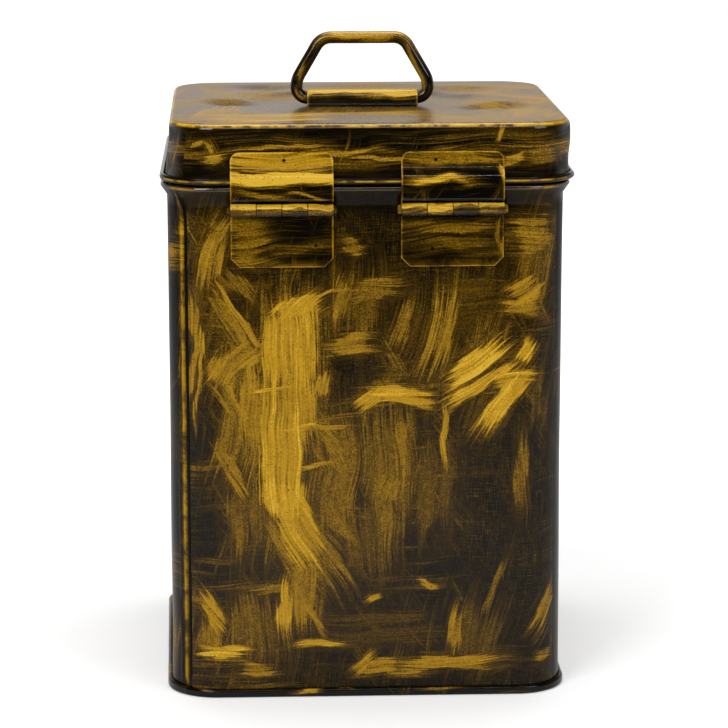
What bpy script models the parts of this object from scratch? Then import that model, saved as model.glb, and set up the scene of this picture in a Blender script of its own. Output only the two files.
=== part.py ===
"""Square sheet-metal storage tin with a hinged lid and a swinging wire handle.

Units are metres, +Z is up.  The tin stands on z = 0 with its plan centred on the
origin.  The two hinges are on the -Y side and the lid opens at the +Y side.

Every ring of sheet (wall, lid, base, collar) is a section carried around one plan
outline, a rounded square that splays out a little at one corner of the foot.  A
section is written as (out, height) points: "out" is the distance outside the wall's
outer face, and each point lies in the middle of the sheet's thickness.
"""

from math import asin, atan2, ceil, cos, pi, radians, sin

import bmesh
import bpy
from mathutils import Vector

# Plan of the body
BODY_WIDTH = 0.200
BODY_DEPTH = 0.200
CORNER_RADIUS = 0.0235
FOOT_SPLAY = 0.0042

# Body wall, from the ground to the top of its rolled shoulder
BODY_HEIGHT = 0.2638
WALL_SHEET = 0.0006
SHOULDER_RADIUS = 0.0015
SHOULDER_PROUD = 0.0033
SHOULDER_FLARE = 0.0050
SHOULDER_ROLL_END = radians(205)
SEAM_ANGLE = radians(50)
SEAM_WIDTH = 0.0050
SEAM_STEP = 0.0007
SEAM_FLANK = 0.0007

# Collar inside the mouth, rising into the lid
COLLAR_SHEET = 0.0006
COLLAR_RISE = 0.0105
COLLAR_DROP = 0.0160
COLLAR_LEAN = 0.0008
COLLAR_LEAN_HEIGHT = 0.0025

# Base pan, with a channel around the wall's foot
BASE_SHEET = 0.0007
BASE_RECESS = 0.0035
RING_HEIGHT = 0.0042
RING_PROUD = 0.0024
RING_BEND = 0.0008
FLOOR_BORDER = 0.0120

# Lid
LID_HEIGHT = 0.0302
LID_SHEET = 0.0006
LID_OVERHANG = 0.0015
LID_DRAFT = 0.0006
LID_EDGE_BEND = 0.0030
LID_BEAD_RADIUS = 0.0017
LID_BEAD_PROUD = 0.0047
LID_FLARE = 0.0065
LID_ROLL_END = radians(100)
LID_SEAT_GAP = 0.0007
LID_MARGIN = 0.0120
DISH_DEPTH = 0.0018
DISH_RADIUS = 0.0460
DISH_SLOPE = 0.0160

# Hinges
HINGE_SPACING = 0.0850
HINGE_WIDTH = 0.0512
HINGE_SHEET = 0.0009
KNUCKLE_RADIUS = 0.0032
KNUCKLE_COUNT = 4
KNUCKLE_GAP = 0.0004
KNUCKLE_WRAP = radians(295)
BODY_LEAF_DROP = 0.0292
LID_LEAF_PLATE = 0.0077
LEAF_CORNER = 0.0045
LEAF_SHELF_CLEARANCE = 0.0004
LEAF_STRIP = 0.0003
LEAF_BULGE_RISE = 0.0024
LEAF_BULGE_SLOPE = 0.0045
LEAF_BULGE_CLEARANCE = 0.0004
LEAF_BEND = 0.0010
LEAF_SOFT_BEND = 0.0020
PIN_HEAD_RADIUS = 0.0023
PIN_HEAD_LENGTH = 0.0015

# Handle: a closed loop of rod, upright at rest, turning in a saddle on the lid
HANDLE_X = 0.0012
HANDLE_Y = -0.0030
HANDLE_ROD_RADIUS = 0.0032
HANDLE_HEIGHT = 0.0317
HANDLE_FOOT_HALF_WIDTH = 0.0340
HANDLE_FOOT_BEND = 0.0058
HANDLE_WAIST_HALF_WIDTH = 0.0347
HANDLE_WAIST_HEIGHT = 0.0092
HANDLE_WAIST_BEND = 0.0115
HANDLE_TOP_HALF_WIDTH = 0.0215
HANDLE_TOP_BEND = 0.0087
SADDLE_LENGTH = 0.0580
SADDLE_SHEET = 0.0009
SADDLE_HEIGHT = 0.0084
SADDLE_FLANGE = 0.0035
SADDLE_BEND = 0.0010

# Clearance between pieces that touch
FIT_GAP = 0.0003

# Mesh resolution: the body leaf's corners are cut straight, the lid leaf's are round
CORNER_STEPS = 6
SIDE_STEPS = 4
BEND_STEP = radians(30)
FINE_BEND_STEP = radians(20)
ROD_BEND_STEP = radians(15)
ROLL_STEP = radians(26)
KNUCKLE_STEP = radians(22)
BODY_LEAF_CORNER_STEPS = 1
LID_LEAF_CORNER_STEPS = 3
ROD_RESOLUTION = 3
WIRE_RESOLUTION = 1
PIN_STEPS = 16
MERGE_DISTANCE = 0.00001
SMOOTH_ANGLE = radians(40)

# Heights and places worked out from the sizes above
SHOULDER_CENTRE = (SHOULDER_PROUD - SHOULDER_RADIUS, BODY_HEIGHT - SHOULDER_RADIUS)
LID_BOTTOM = BODY_HEIGHT + LID_SEAT_GAP
LID_TOP = LID_BOTTOM + LID_HEIGHT
LID_BEAD_CENTRE = (LID_BEAD_PROUD - LID_BEAD_RADIUS, LID_BOTTOM + LID_BEAD_RADIUS)
DISH_TOP = LID_TOP - DISH_DEPTH
HANDLE_AXIS_HEIGHT = DISH_TOP + SADDLE_HEIGHT - SADDLE_SHEET - FIT_GAP - HANDLE_ROD_RADIUS
LEAF_SHELF = SHOULDER_CENTRE[1] - SHOULDER_FLARE - LEAF_SHELF_CLEARANCE
HINGE_AXIS_HEIGHT = LEAF_SHELF - LEAF_BEND - LEAF_STRIP - FIT_GAP - KNUCKLE_RADIUS
HINGE_AXIS_OUT = FIT_GAP + KNUCKLE_RADIUS
KNUCKLE_MID_RADIUS = KNUCKLE_RADIUS - HINGE_SHEET / 2

# Colours of the worn gold-over-black paint, averaged for each piece
BODY_PAINT = (0.20, 0.13, 0.025)
LID_PAINT = (0.22, 0.145, 0.03)
EDGE_PAINT = (0.26, 0.17, 0.035)
DARK_PAINT = (0.035, 0.028, 0.022)
BARE_WIRE = (0.32, 0.31, 0.29)
INSIDE_PAINT = (0.05, 0.045, 0.04)


def clear_scene():
    for scene_object in list(bpy.data.objects):
        bpy.data.objects.remove(scene_object, do_unlink=True)


def make_material(name, colour, roughness, metallic):
    material = bpy.data.materials.new(name)
    material.use_nodes = True
    shader = material.node_tree.nodes["Principled BSDF"]
    shader.inputs["Base Color"].default_value = (*colour, 1.0)
    shader.inputs["Roughness"].default_value = roughness
    shader.inputs["Metallic"].default_value = metallic
    return material


def add_object(name, data, material, collection, location=(0.0, 0.0, 0.0)):
    data.materials.append(material)
    new_object = bpy.data.objects.new(name, data)
    new_object.location = location
    collection.objects.link(new_object)
    return new_object


def add_empty(name, location, collection):
    empty = bpy.data.objects.new(name, None)
    empty.location = location
    collection.objects.link(empty)
    return empty


def attach(child, parent):
    """Parent an object that was placed in world coordinates, leaving it in place."""
    child.parent = parent
    child.location = Vector(child.location) - Vector(parent.location)


# Plane outlines and sections

def arc(centre, radius, start, end, step):
    """Points along an arc, both ends included, no coarser than the given step."""
    count = max(1, ceil(abs(end - start) / step))
    points = []
    for index in range(count + 1):
        angle = start + (end - start) * index / count
        points.append((centre[0] + radius * cos(angle), centre[1] + radius * sin(angle)))
    return points


def rounded_path(corners, closed=False, step=BEND_STEP):
    """Points of a path whose corners, given as (x, y, bend radius), are rounded."""
    points = []
    last = len(corners) - 1
    for index, (x, y, radius) in enumerate(corners):
        if radius == 0.0 or (not closed and index in (0, last)):
            points.append((x, y))
            continue
        before = Vector(corners[index - 1][:2])
        after = Vector(corners[(index + 1) % len(corners)][:2])
        corner = Vector((x, y))
        towards_before = (before - corner).normalized()
        towards_after = (after - corner).normalized()
        half_angle = towards_before.angle(towards_after) / 2
        tangent = radius * cos(half_angle) / sin(half_angle)
        bisector = (towards_before + towards_after).normalized()
        centre = corner + bisector * (radius / sin(half_angle))
        first = corner + towards_before * tangent - centre
        second = corner + towards_after * tangent - centre
        start = atan2(first.y, first.x)
        turn = atan2(first.cross(second), first.dot(second))
        points += arc(centre, radius, start, start + turn, step)
    return points


def roll_up(start, centre, radius, end, step):
    """A straight run from a point to a roll, then the roll itself, turning left."""
    across = Vector(centre) - Vector(start)
    heading = atan2(across.y, across.x) - asin(radius / across.length)
    return [tuple(start)] + arc(centre, radius, heading - pi / 2, end, step)


def plan_stations(with_seam=False):
    """Stations around the plan, anticlockwise: a base point, the outward direction
    there, and whether the raised lock seam covers it."""
    core_x = BODY_WIDTH / 2 - CORNER_RADIUS
    core_y = BODY_DEPTH / 2 - CORNER_RADIUS
    stations = []

    def add_corner(sign_x, sign_y, first_angle):
        angles = [(first_angle + pi / 2 * i / CORNER_STEPS, False) for i in range(CORNER_STEPS + 1)]
        if with_seam and sign_x < 0 and sign_y < 0:
            angles = seam_angles(angles)
        for angle, raised in angles:
            stations.append((sign_x * core_x, sign_y * core_y, cos(angle), sin(angle), raised))

    def add_side(start, end, normal):
        for index in range(1, SIDE_STEPS):
            share = index / SIDE_STEPS
            x = start[0] + (end[0] - start[0]) * share
            y = start[1] + (end[1] - start[1]) * share
            stations.append((x, y, normal[0], normal[1], False))

    add_corner(1, -1, -pi / 2)
    add_side((core_x, -core_y), (core_x, core_y), (1, 0))
    add_corner(1, 1, 0.0)
    add_side((core_x, core_y), (-core_x, core_y), (0, 1))
    add_corner(-1, 1, pi / 2)
    add_side((-core_x, core_y), (-core_x, -core_y), (-1, 0))
    add_corner(-1, -1, pi)
    add_side((-core_x, -core_y), (core_x, -core_y), (0, -1))
    return stations


def seam_angles(angles):
    """Corner angles with the four edges of the raised seam put in among them."""
    flank = SEAM_FLANK / CORNER_RADIUS
    width = SEAM_WIDTH / CORNER_RADIUS
    inner_edge = pi + SEAM_ANGLE
    edges = [
        (inner_edge - width, False),
        (inner_edge - width + flank, True),
        (inner_edge - flank, True),
        (inner_edge, False),
    ]
    kept = [a for a in angles if a[0] < edges[0][0] - flank or a[0] > edges[3][0] + flank]
    return sorted(kept + edges)


def plan_point(station, out, height, seam_step=0.0):
    """The point of a station that lies the given distance outside the wall's face."""
    base_x, base_y, normal_x, normal_y, raised = station
    reach = CORNER_RADIUS + out + (seam_step if raised else 0.0)
    x = base_x + normal_x * reach
    y = base_y + normal_y * reach
    return Vector((x - foot_splay(x, y, height), y, height))


def foot_splay(x, y, height):
    """How far the wall stands out of square: most at the foot of the -X, +Y corner,
    and nothing along the +X and -Y sides or above the wall."""
    drop = max(0.0, 1 - height / (SHOULDER_CENTRE[1] - SHOULDER_FLARE))
    depth = max(0.0, y / BODY_DEPTH + 0.5)
    side = max(0.0, -x / (BODY_WIDTH / 2))
    return FOOT_SPLAY * drop * depth * side


def dish_point(station, radius, height):
    """The point of a circle around the handle that faces the given station."""
    edge = plan_point(station, 0.0, height)
    angle = atan2(edge.y - HANDLE_Y, edge.x - HANDLE_X)
    return Vector((HANDLE_X + radius * cos(angle), HANDLE_Y + radius * sin(angle), height))


# Mesh builders

def loft(rings, cap_last=False):
    """An open surface lofted through closed rings, each point to its own station."""
    mesh_data = bmesh.new()
    lower = None
    for ring in rings:
        upper = [mesh_data.verts.new(point) for point in ring]
        if lower:
            for index, vert in enumerate(upper):
                mesh_data.faces.new((lower[index - 1], lower[index], vert, upper[index - 1]))
        lower = upper
    if cap_last:
        mesh_data.faces.new(lower)
    return mesh_data


def finish_sheet(name, mesh_data, sheet, material, collection):
    """Turn an open mid-sheet surface into a piece of sheet metal."""
    bmesh.ops.recalc_face_normals(mesh_data, faces=mesh_data.faces)
    mesh = bpy.data.meshes.new(name)
    mesh_data.to_mesh(mesh)
    mesh_data.free()
    mesh.shade_smooth()
    mesh.set_sharp_from_angle(angle=SMOOTH_ANGLE)
    piece = add_object(name, mesh, material, collection)
    thickness = piece.modifiers.new("Sheet", "SOLIDIFY")
    thickness.thickness = sheet
    thickness.offset = 0.0
    thickness.use_even_offset = True
    thickness.use_quality_normals = True
    return piece


def ring_of_sheet(name, section, sheet, material, collection, seam_step=0.0, seam_range=None):
    """A section carried around the plan; the seam stands out within a height range."""
    stations = plan_stations(with_seam=seam_range is not None)
    rings = []
    for out, height in section:
        in_range = seam_range is not None and seam_range[0] <= height <= seam_range[1]
        step = seam_step if in_range else 0.0
        rings.append([plan_point(station, out, height, step) for station in stations])
    return finish_sheet(name, loft(rings), sheet, material, collection)


def plan_wire(name, out, height, radius, material, collection):
    """A closed wire that follows the plan."""
    curve = bpy.data.curves.new(name, "CURVE")
    curve.dimensions = "3D"
    curve.bevel_depth = radius
    curve.bevel_resolution = WIRE_RESOLUTION
    spline = curve.splines.new("POLY")
    stations = plan_stations()
    spline.points.add(len(stations) - 1)
    for point, station in zip(spline.points, stations):
        point.co = (*plan_point(station, out, height), 1.0)
    spline.use_cyclic_u = True
    spline.use_smooth = True
    return add_object(name, curve, material, collection)


# Body pieces

def wall_section():
    middle = -WALL_SHEET / 2
    foot = BASE_SHEET + FIT_GAP + WALL_SHEET / 2
    flange_end = RING_PROUD - BASE_SHEET - FIT_GAP
    flare_start = (middle, SHOULDER_CENTRE[1] - SHOULDER_FLARE)
    seam_low, seam_high = seam_heights()
    section = rounded_path([
        (flange_end, foot, 0.0),
        (middle, foot, WALL_SHEET),
        (middle, seam_low, 0.0),
    ])
    section.append((middle, seam_low + SEAM_FLANK))
    section.append((middle, seam_high - SEAM_FLANK))
    section.append((middle, seam_high))
    roll_radius = SHOULDER_RADIUS - WALL_SHEET / 2
    section += roll_up(flare_start, SHOULDER_CENTRE, roll_radius, SHOULDER_ROLL_END, ROLL_STEP)
    return section


def seam_heights():
    low = RING_HEIGHT + FIT_GAP
    high = SHOULDER_CENTRE[1] - SHOULDER_FLARE - SEAM_FLANK
    return low, high


def build_body_shell(material, collection):
    seam_low, seam_high = seam_heights()
    return ring_of_sheet(
        "body_shell", wall_section(), WALL_SHEET, material, collection,
        seam_step=SEAM_STEP,
        seam_range=(seam_low + SEAM_FLANK / 2, seam_high - SEAM_FLANK / 2))


def build_body_rim_wire(material, collection):
    radius = SHOULDER_RADIUS - WALL_SHEET - FIT_GAP
    return plan_wire("body_rim_wire", *SHOULDER_CENTRE, radius, material, collection)


def build_mouth_collar(material, collection):
    out = -(WALL_SHEET + FIT_GAP + COLLAR_SHEET / 2)
    top = BODY_HEIGHT + COLLAR_RISE
    section = [
        (out, BODY_HEIGHT - COLLAR_DROP),
        (out, BODY_HEIGHT),
        (out, top - COLLAR_LEAN_HEIGHT),
        (out - COLLAR_LEAN, top),
    ]
    return ring_of_sheet("mouth_collar", section, COLLAR_SHEET, material, collection)


def build_base_pan(material, collection):
    half_sheet = BASE_SHEET / 2
    channel_in = -(WALL_SHEET + FIT_GAP + half_sheet)
    channel_out = RING_PROUD - half_sheet
    floor = BASE_RECESS + half_sheet
    section = rounded_path([
        (FIT_GAP, RING_HEIGHT - half_sheet, 0.0),
        (channel_out, RING_HEIGHT - half_sheet, RING_BEND),
        (channel_out, half_sheet, RING_BEND),
        (channel_in, half_sheet, RING_BEND),
        (channel_in, floor, RING_BEND),
        (channel_in - FLOOR_BORDER, floor, 0.0),
    ])
    stations = plan_stations()
    rings = [[plan_point(station, out, height) for station in stations] for out, height in section]
    return finish_sheet("base_pan", loft(rings, cap_last=True), BASE_SHEET, material, collection)


# Lid pieces

def skirt_out(height):
    """How far the lid skirt's outer face stands outside the wall at a height."""
    share = (LID_TOP - height) / LID_HEIGHT
    return LID_OVERHANG - LID_DRAFT * (1 - share)


def build_lid_shell(material, collection):
    half_sheet = LID_SHEET / 2
    top = LID_TOP - half_sheet
    flare_height = LID_BEAD_CENTRE[1] + LID_FLARE
    flare_start = (skirt_out(flare_height) - half_sheet, flare_height)
    upper = rounded_path([
        (-LID_MARGIN, top, 0.0),
        (skirt_out(LID_TOP) - half_sheet, top, LID_EDGE_BEND),
        (*flare_start, 0.0),
    ], step=FINE_BEND_STEP)
    roll_radius = LID_BEAD_RADIUS - half_sheet
    lower = roll_up(flare_start, LID_BEAD_CENTRE, roll_radius, LID_ROLL_END, ROLL_STEP)
    section = upper[:-1] + lower
    stations = plan_stations()
    rings = [[plan_point(s, out, height) for s in stations] for out, height in reversed(section)]
    rim_radius = DISH_RADIUS + DISH_SLOPE
    rings.append([dish_point(s, rim_radius, top) for s in stations])
    rings.append([dish_point(s, DISH_RADIUS + DISH_SLOPE / 2, top - DISH_DEPTH / 2) for s in stations])
    rings.append([dish_point(s, DISH_RADIUS, top - DISH_DEPTH) for s in stations])
    return finish_sheet("lid_shell", loft(rings, cap_last=True), LID_SHEET, material, collection)


def build_lid_rim_wire(material, collection):
    radius = LID_BEAD_RADIUS - LID_SHEET - FIT_GAP
    return plan_wire("lid_rim_wire", *LID_BEAD_CENTRE, radius, material, collection)


# Hinges

def leaf_rows(corner_steps):
    """Distances from a leaf's free end, and how far its corners are cut back there."""
    rows = []
    for index in range(corner_steps + 1):
        angle = pi / 2 * index / corner_steps
        rows.append((LEAF_CORNER * (1 - cos(angle)), LEAF_CORNER * (1 - sin(angle))))
    return rows


def knuckle_bounds(first_tab):
    """Edges, along the hinge, of a leaf's cells: its own knuckles and the notches."""
    pitch = HINGE_WIDTH / KNUCKLE_COUNT
    start = -HINGE_WIDTH / 2
    bounds = [start]
    for index in range(1, KNUCKLE_COUNT):
        own_on_left = (index - 1) % 2 == first_tab
        shift = -KNUCKLE_GAP / 2 if own_on_left else KNUCKLE_GAP / 2
        bounds.append(start + pitch * index + shift)
    bounds.append(start + HINGE_WIDTH)
    return bounds


def build_leaf(name, path, plate_rows, insets, first_tab, location, material, collection):
    """A leaf as a grid: its rows follow the section path from the free end to the
    knuckle, and past the plate's rows only its own knuckles have metal."""
    bounds = knuckle_bounds(first_tab)
    mesh_data = bmesh.new()
    grid = []
    for row, (out, height) in enumerate(path):
        inset = insets[row] if row < len(insets) else 0.0
        xs = [bounds[0] + inset] + bounds[1:-1] + [bounds[-1] - inset]
        y = -(BODY_DEPTH / 2 + out) - location[1]
        grid.append([mesh_data.verts.new((x, y, height - location[2])) for x in xs])
    for row in range(len(path) - 1):
        for cell in range(KNUCKLE_COUNT):
            if row >= plate_rows - 1 and cell % 2 != first_tab:
                continue
            corners = (grid[row][cell], grid[row][cell + 1], grid[row + 1][cell + 1], grid[row + 1][cell])
            mesh_data.faces.new(corners)
    loose = [vert for vert in mesh_data.verts if not vert.link_faces]
    bmesh.ops.delete(mesh_data, geom=loose, context="VERTS")
    leaf = finish_sheet(name, mesh_data, HINGE_SHEET, material, collection)
    leaf.location = location
    return leaf


def body_leaf_path():
    """Section of the body leaf: free end, notch line, then up and over the pin."""
    out = FIT_GAP + HINGE_SHEET / 2
    free_end = HINGE_AXIS_HEIGHT - BODY_LEAF_DROP
    rows = leaf_rows(BODY_LEAF_CORNER_STEPS)
    path = [(out, free_end + distance) for distance, _ in rows]
    insets = [inset for _, inset in rows]
    path.append((out, HINGE_AXIS_HEIGHT - KNUCKLE_RADIUS - FIT_GAP))
    plate_rows = len(path)
    centre = (HINGE_AXIS_OUT, HINGE_AXIS_HEIGHT)
    path += arc(centre, KNUCKLE_MID_RADIUS, pi, pi - KNUCKLE_WRAP, KNUCKLE_STEP)
    return path, plate_rows, insets


def lid_leaf_path():
    """Section of the lid leaf: down the skirt, out over both rolled rims, back in
    above the barrel, then down behind the pin and round it."""
    half_sheet = HINGE_SHEET / 2
    bulge_top = LID_BEAD_CENTRE[1] + LEAF_BULGE_RISE
    skirt_foot = bulge_top + LEAF_BULGE_SLOPE
    free_end = skirt_foot + LID_LEAF_PLATE
    bulge_out = LID_BEAD_PROUD + LEAF_BULGE_CLEARANCE + half_sheet
    wall_out = FIT_GAP + half_sheet
    rows = leaf_rows(LID_LEAF_CORNER_STEPS)
    path = []
    for distance, _ in rows:
        height = free_end - distance
        path.append((skirt_out(height) + FIT_GAP + half_sheet, height))
    insets = [inset for _, inset in rows]
    bends = rounded_path([
        (*path[-1], 0.0),
        (skirt_out(skirt_foot) + FIT_GAP + half_sheet, skirt_foot, LEAF_SOFT_BEND),
        (bulge_out, bulge_top, LEAF_SOFT_BEND),
        (bulge_out, LEAF_SHELF, LEAF_BEND),
        (wall_out, LEAF_SHELF, LEAF_BEND),
        (wall_out, HINGE_AXIS_HEIGHT, 0.0),
    ])
    path += bends[1:-1]
    path.append((wall_out, HINGE_AXIS_HEIGHT + KNUCKLE_RADIUS + FIT_GAP))
    plate_rows = len(path)
    centre = (HINGE_AXIS_OUT, HINGE_AXIS_HEIGHT)
    path += arc(centre, KNUCKLE_MID_RADIUS, pi, pi + KNUCKLE_WRAP, KNUCKLE_STEP)
    return path, plate_rows, insets


def build_pin(name, location, material, collection):
    """A pin turned about its own Z axis, with a low head beyond each outer knuckle."""
    radius = KNUCKLE_RADIUS - HINGE_SHEET - FIT_GAP
    shoulder = HINGE_WIDTH / 2 + FIT_GAP
    end = shoulder + PIN_HEAD_LENGTH
    crown = PIN_HEAD_LENGTH / 3
    profile = [
        (0.0, end),
        (PIN_HEAD_RADIUS - crown, end),
        (PIN_HEAD_RADIUS, end - crown),
        (PIN_HEAD_RADIUS, shoulder),
        (radius, shoulder),
        (radius, -shoulder),
        (PIN_HEAD_RADIUS, -shoulder),
        (PIN_HEAD_RADIUS, crown - end),
        (PIN_HEAD_RADIUS - crown, -end),
        (0.0, -end),
    ]
    mesh_data = bmesh.new()
    verts = [mesh_data.verts.new((x, 0.0, z)) for x, z in profile]
    for pair in zip(verts, verts[1:]):
        mesh_data.edges.new(pair)
    mesh = bpy.data.meshes.new(name)
    mesh_data.to_mesh(mesh)
    mesh_data.free()
    pin = add_object(name, mesh, material, collection, location)
    pin.rotation_euler = (0.0, pi / 2, 0.0)
    turn = pin.modifiers.new("Turn", "SCREW")
    turn.steps = PIN_STEPS
    turn.render_steps = PIN_STEPS
    turn.use_merge_vertices = True
    turn.merge_threshold = MERGE_DISTANCE
    turn.use_smooth_shade = True
    return pin


def build_hinge(side, centre_x, axis_y, paints, collection):
    location = (centre_x, axis_y, HINGE_AXIS_HEIGHT)
    lid_leaf = build_leaf(
        f"{side}_hinge_lid_leaf", *lid_leaf_path(), 0, location, paints["lid_leaf"], collection)
    body_leaf = build_leaf(
        f"{side}_hinge_body_leaf", *body_leaf_path(), 1, location, paints["body_leaf"], collection)
    pin = build_pin(f"{side}_hinge_pin", location, paints["pin"], collection)
    return lid_leaf, body_leaf, pin


# Handle

def build_handle_bail(material, collection):
    """The closed rod loop, drawn in the XZ plane with its lower run on the axis."""
    right = [
        (HANDLE_FOOT_HALF_WIDTH, 0.0, HANDLE_FOOT_BEND),
        (HANDLE_WAIST_HALF_WIDTH, HANDLE_WAIST_HEIGHT, HANDLE_WAIST_BEND),
        (HANDLE_TOP_HALF_WIDTH, HANDLE_HEIGHT, HANDLE_TOP_BEND),
    ]
    left = [(-x, z, bend) for x, z, bend in reversed(right)]
    outline = rounded_path(right + left, closed=True, step=ROD_BEND_STEP)
    curve = bpy.data.curves.new("handle_bail", "CURVE")
    curve.dimensions = "3D"
    curve.bevel_depth = HANDLE_ROD_RADIUS
    curve.bevel_resolution = ROD_RESOLUTION
    spline = curve.splines.new("POLY")
    spline.points.add(len(outline) - 1)
    for point, (x, z) in zip(spline.points, outline):
        point.co = (x, 0.0, z, 1.0)
    spline.use_cyclic_u = True
    spline.use_smooth = True
    location = (HANDLE_X, HANDLE_Y, HANDLE_AXIS_HEIGHT)
    return add_object("handle_bail", curve, material, collection, location)


def build_handle_saddle(material, collection):
    """A strap bent over the rod's lower run, with a flange each side on the lid."""
    half_sheet = SADDLE_SHEET / 2
    radius = HANDLE_ROD_RADIUS + FIT_GAP + half_sheet
    flange_height = DISH_TOP + FIT_GAP + half_sheet
    crown = arc((0.0, HANDLE_AXIS_HEIGHT), radius, 0.0, pi, KNUCKLE_STEP)
    foot = rounded_path([
        crown[0] + (0.0,),
        (radius, flange_height, SADDLE_BEND),
        (radius + SADDLE_FLANGE, flange_height, 0.0),
    ])
    mirrored_foot = [(-y, height) for y, height in foot]
    section = list(reversed(foot)) + crown[1:-1] + mirrored_foot
    mesh_data = bmesh.new()
    start_x = HANDLE_X - SADDLE_LENGTH / 2
    verts = [mesh_data.verts.new((start_x, HANDLE_Y + y, z)) for y, z in section]
    edges = [mesh_data.edges.new(pair) for pair in zip(verts, verts[1:])]
    grown = bmesh.ops.extrude_edge_only(mesh_data, edges=edges)["geom"]
    moved = [element for element in grown if isinstance(element, bmesh.types.BMVert)]
    bmesh.ops.translate(mesh_data, vec=(SADDLE_LENGTH, 0.0, 0.0), verts=moved)
    return finish_sheet("handle_saddle", mesh_data, SADDLE_SHEET, material, collection)


def main():
    clear_scene()
    tin = bpy.data.collections.new("storage_tin")
    bpy.context.scene.collection.children.link(tin)

    build_body_shell(make_material("body_paint", BODY_PAINT, 0.35, 0.4), tin)
    build_body_rim_wire(make_material("body_wire_steel", BARE_WIRE, 0.5, 1.0), tin)
    build_mouth_collar(make_material("collar_lacquer", INSIDE_PAINT, 0.4, 0.2), tin)
    build_base_pan(make_material("base_paint", DARK_PAINT, 0.4, 0.3), tin)

    hinge_y = -(BODY_DEPTH / 2 + HINGE_AXIS_OUT)
    lid_hinge = add_empty("lid_hinge_axis", (0.0, hinge_y, HINGE_AXIS_HEIGHT), tin)
    handle_swing = add_empty("handle_swing_axis", (HANDLE_X, HANDLE_Y, HANDLE_AXIS_HEIGHT), tin)

    lid_pieces = [
        build_lid_shell(make_material("lid_paint", LID_PAINT, 0.3, 0.4), tin),
        build_lid_rim_wire(make_material("lid_wire_steel", BARE_WIRE, 0.5, 1.0), tin),
        build_handle_saddle(make_material("saddle_paint", EDGE_PAINT, 0.3, 0.4), tin),
    ]
    for side, centre_x in (("left", -HINGE_SPACING / 2), ("right", HINGE_SPACING / 2)):
        paints = {
            "lid_leaf": make_material(f"{side}_lid_leaf_paint", EDGE_PAINT, 0.35, 0.4),
            "body_leaf": make_material(f"{side}_body_leaf_paint", BODY_PAINT, 0.35, 0.4),
            "pin": make_material(f"{side}_pin_paint", EDGE_PAINT, 0.35, 0.5),
        }
        lid_leaf, _, _ = build_hinge(side, centre_x, hinge_y, paints, tin)
        lid_pieces.append(lid_leaf)
    for piece in lid_pieces:
        attach(piece, lid_hinge)

    bail = build_handle_bail(make_material("bail_paint", DARK_PAINT, 0.3, 0.4), tin)
    attach(bail, handle_swing)
    attach(handle_swing, lid_hinge)


main()
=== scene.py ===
"""Dressed storage tin: fine sheet-metal pieces with brushed gold-over-black paint, in a
plain pale studio.  Metres throughout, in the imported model's frame, except for the brush
strokes, which are written in millimetres."""

import random
from math import asin, atan2, ceil, cos, pi, radians, sin, sqrt

import bpy
from mathutils import Matrix, Vector, noise


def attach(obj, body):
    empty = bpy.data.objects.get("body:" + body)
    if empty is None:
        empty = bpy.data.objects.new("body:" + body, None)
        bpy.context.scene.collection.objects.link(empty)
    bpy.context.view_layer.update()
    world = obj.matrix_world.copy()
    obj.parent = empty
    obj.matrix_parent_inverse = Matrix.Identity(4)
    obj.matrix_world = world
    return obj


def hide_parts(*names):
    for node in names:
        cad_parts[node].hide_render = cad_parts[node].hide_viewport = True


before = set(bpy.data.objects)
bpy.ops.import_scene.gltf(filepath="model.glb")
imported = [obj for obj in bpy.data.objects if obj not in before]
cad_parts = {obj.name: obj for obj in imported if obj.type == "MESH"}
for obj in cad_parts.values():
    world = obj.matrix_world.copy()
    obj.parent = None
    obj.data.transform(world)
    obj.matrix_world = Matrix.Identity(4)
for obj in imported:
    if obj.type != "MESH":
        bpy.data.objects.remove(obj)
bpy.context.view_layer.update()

MM = 0.001

# Sizes shared with the solids

HALF = 0.100
CORNER = 0.0235
FOOT_SPLAY = 0.0042
SHEET = 0.0006
SHOULDER = (0.0018, 0.2623)
SHOULDER_RADIUS = 0.0015
SHOULDER_FLARE = 0.0050
BASE_SHEET = 0.0007
RING_HEIGHT = 0.0042
RING_PROUD = 0.0024
RING_BEND = 0.0008
BASE_RECESS = 0.0035
FIT_GAP = 0.0003
LID_BOTTOM = 0.2645
LID_TOP = 0.2947
LID_OVERHANG = 0.0015
LID_DRAFT = 0.0006
LID_BEAD = (0.0030, 0.2662)
LID_BEAD_RADIUS = 0.0017
LID_FLARE = 0.0065
LID_EDGE_BEND = 0.0030
LID_ROLL_END = radians(100)
BEAD_LINE = 0.0024
DISH_DEPTH = 0.0018
HINGE_X = {"left": -0.0425, "right": 0.0425}
HINGE_WIDTH = 0.0512
HINGE_Z = 0.2521
HINGE_SHEET = 0.0009
KNUCKLE_RADIUS = 0.0032
HANDLE = (0.0012, -0.0030, 0.2969)
ROD_RADIUS = 0.0032

STRAIGHT = 2 * (HALF - CORNER)
QUARTER = CORNER * pi / 2
PERIMETER = 4 * (STRAIGHT + QUARTER)
SEAM_U = -0.0929

# Small helpers


def smooth(low, high, value):
    """0 below low, 1 above high and a smooth step between them."""
    t = min(1.0, max(0.0, (value - low) / (high - low)))
    return t * t * (3 - 2 * t)


def plateau(bounds, value):
    """1 between the two inner bounds, falling smoothly to 0 at the outer ones."""
    return smooth(bounds[0], bounds[1], value) * (1 - smooth(bounds[2], bounds[3], value))


def bump(value, centre, reach):
    """1 at the centre, falling smoothly to 0 at the reach."""
    t = min(1.0, abs(value - centre) / reach)
    return (1 - t * t) ** 2


def arc(centre, radius, start, end, step):
    count = max(1, ceil(abs(end - start) / step))
    angles = [start + (end - start) * i / count for i in range(count + 1)]
    return [(centre[0] + radius * cos(a), centre[1] + radius * sin(a)) for a in angles]


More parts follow.
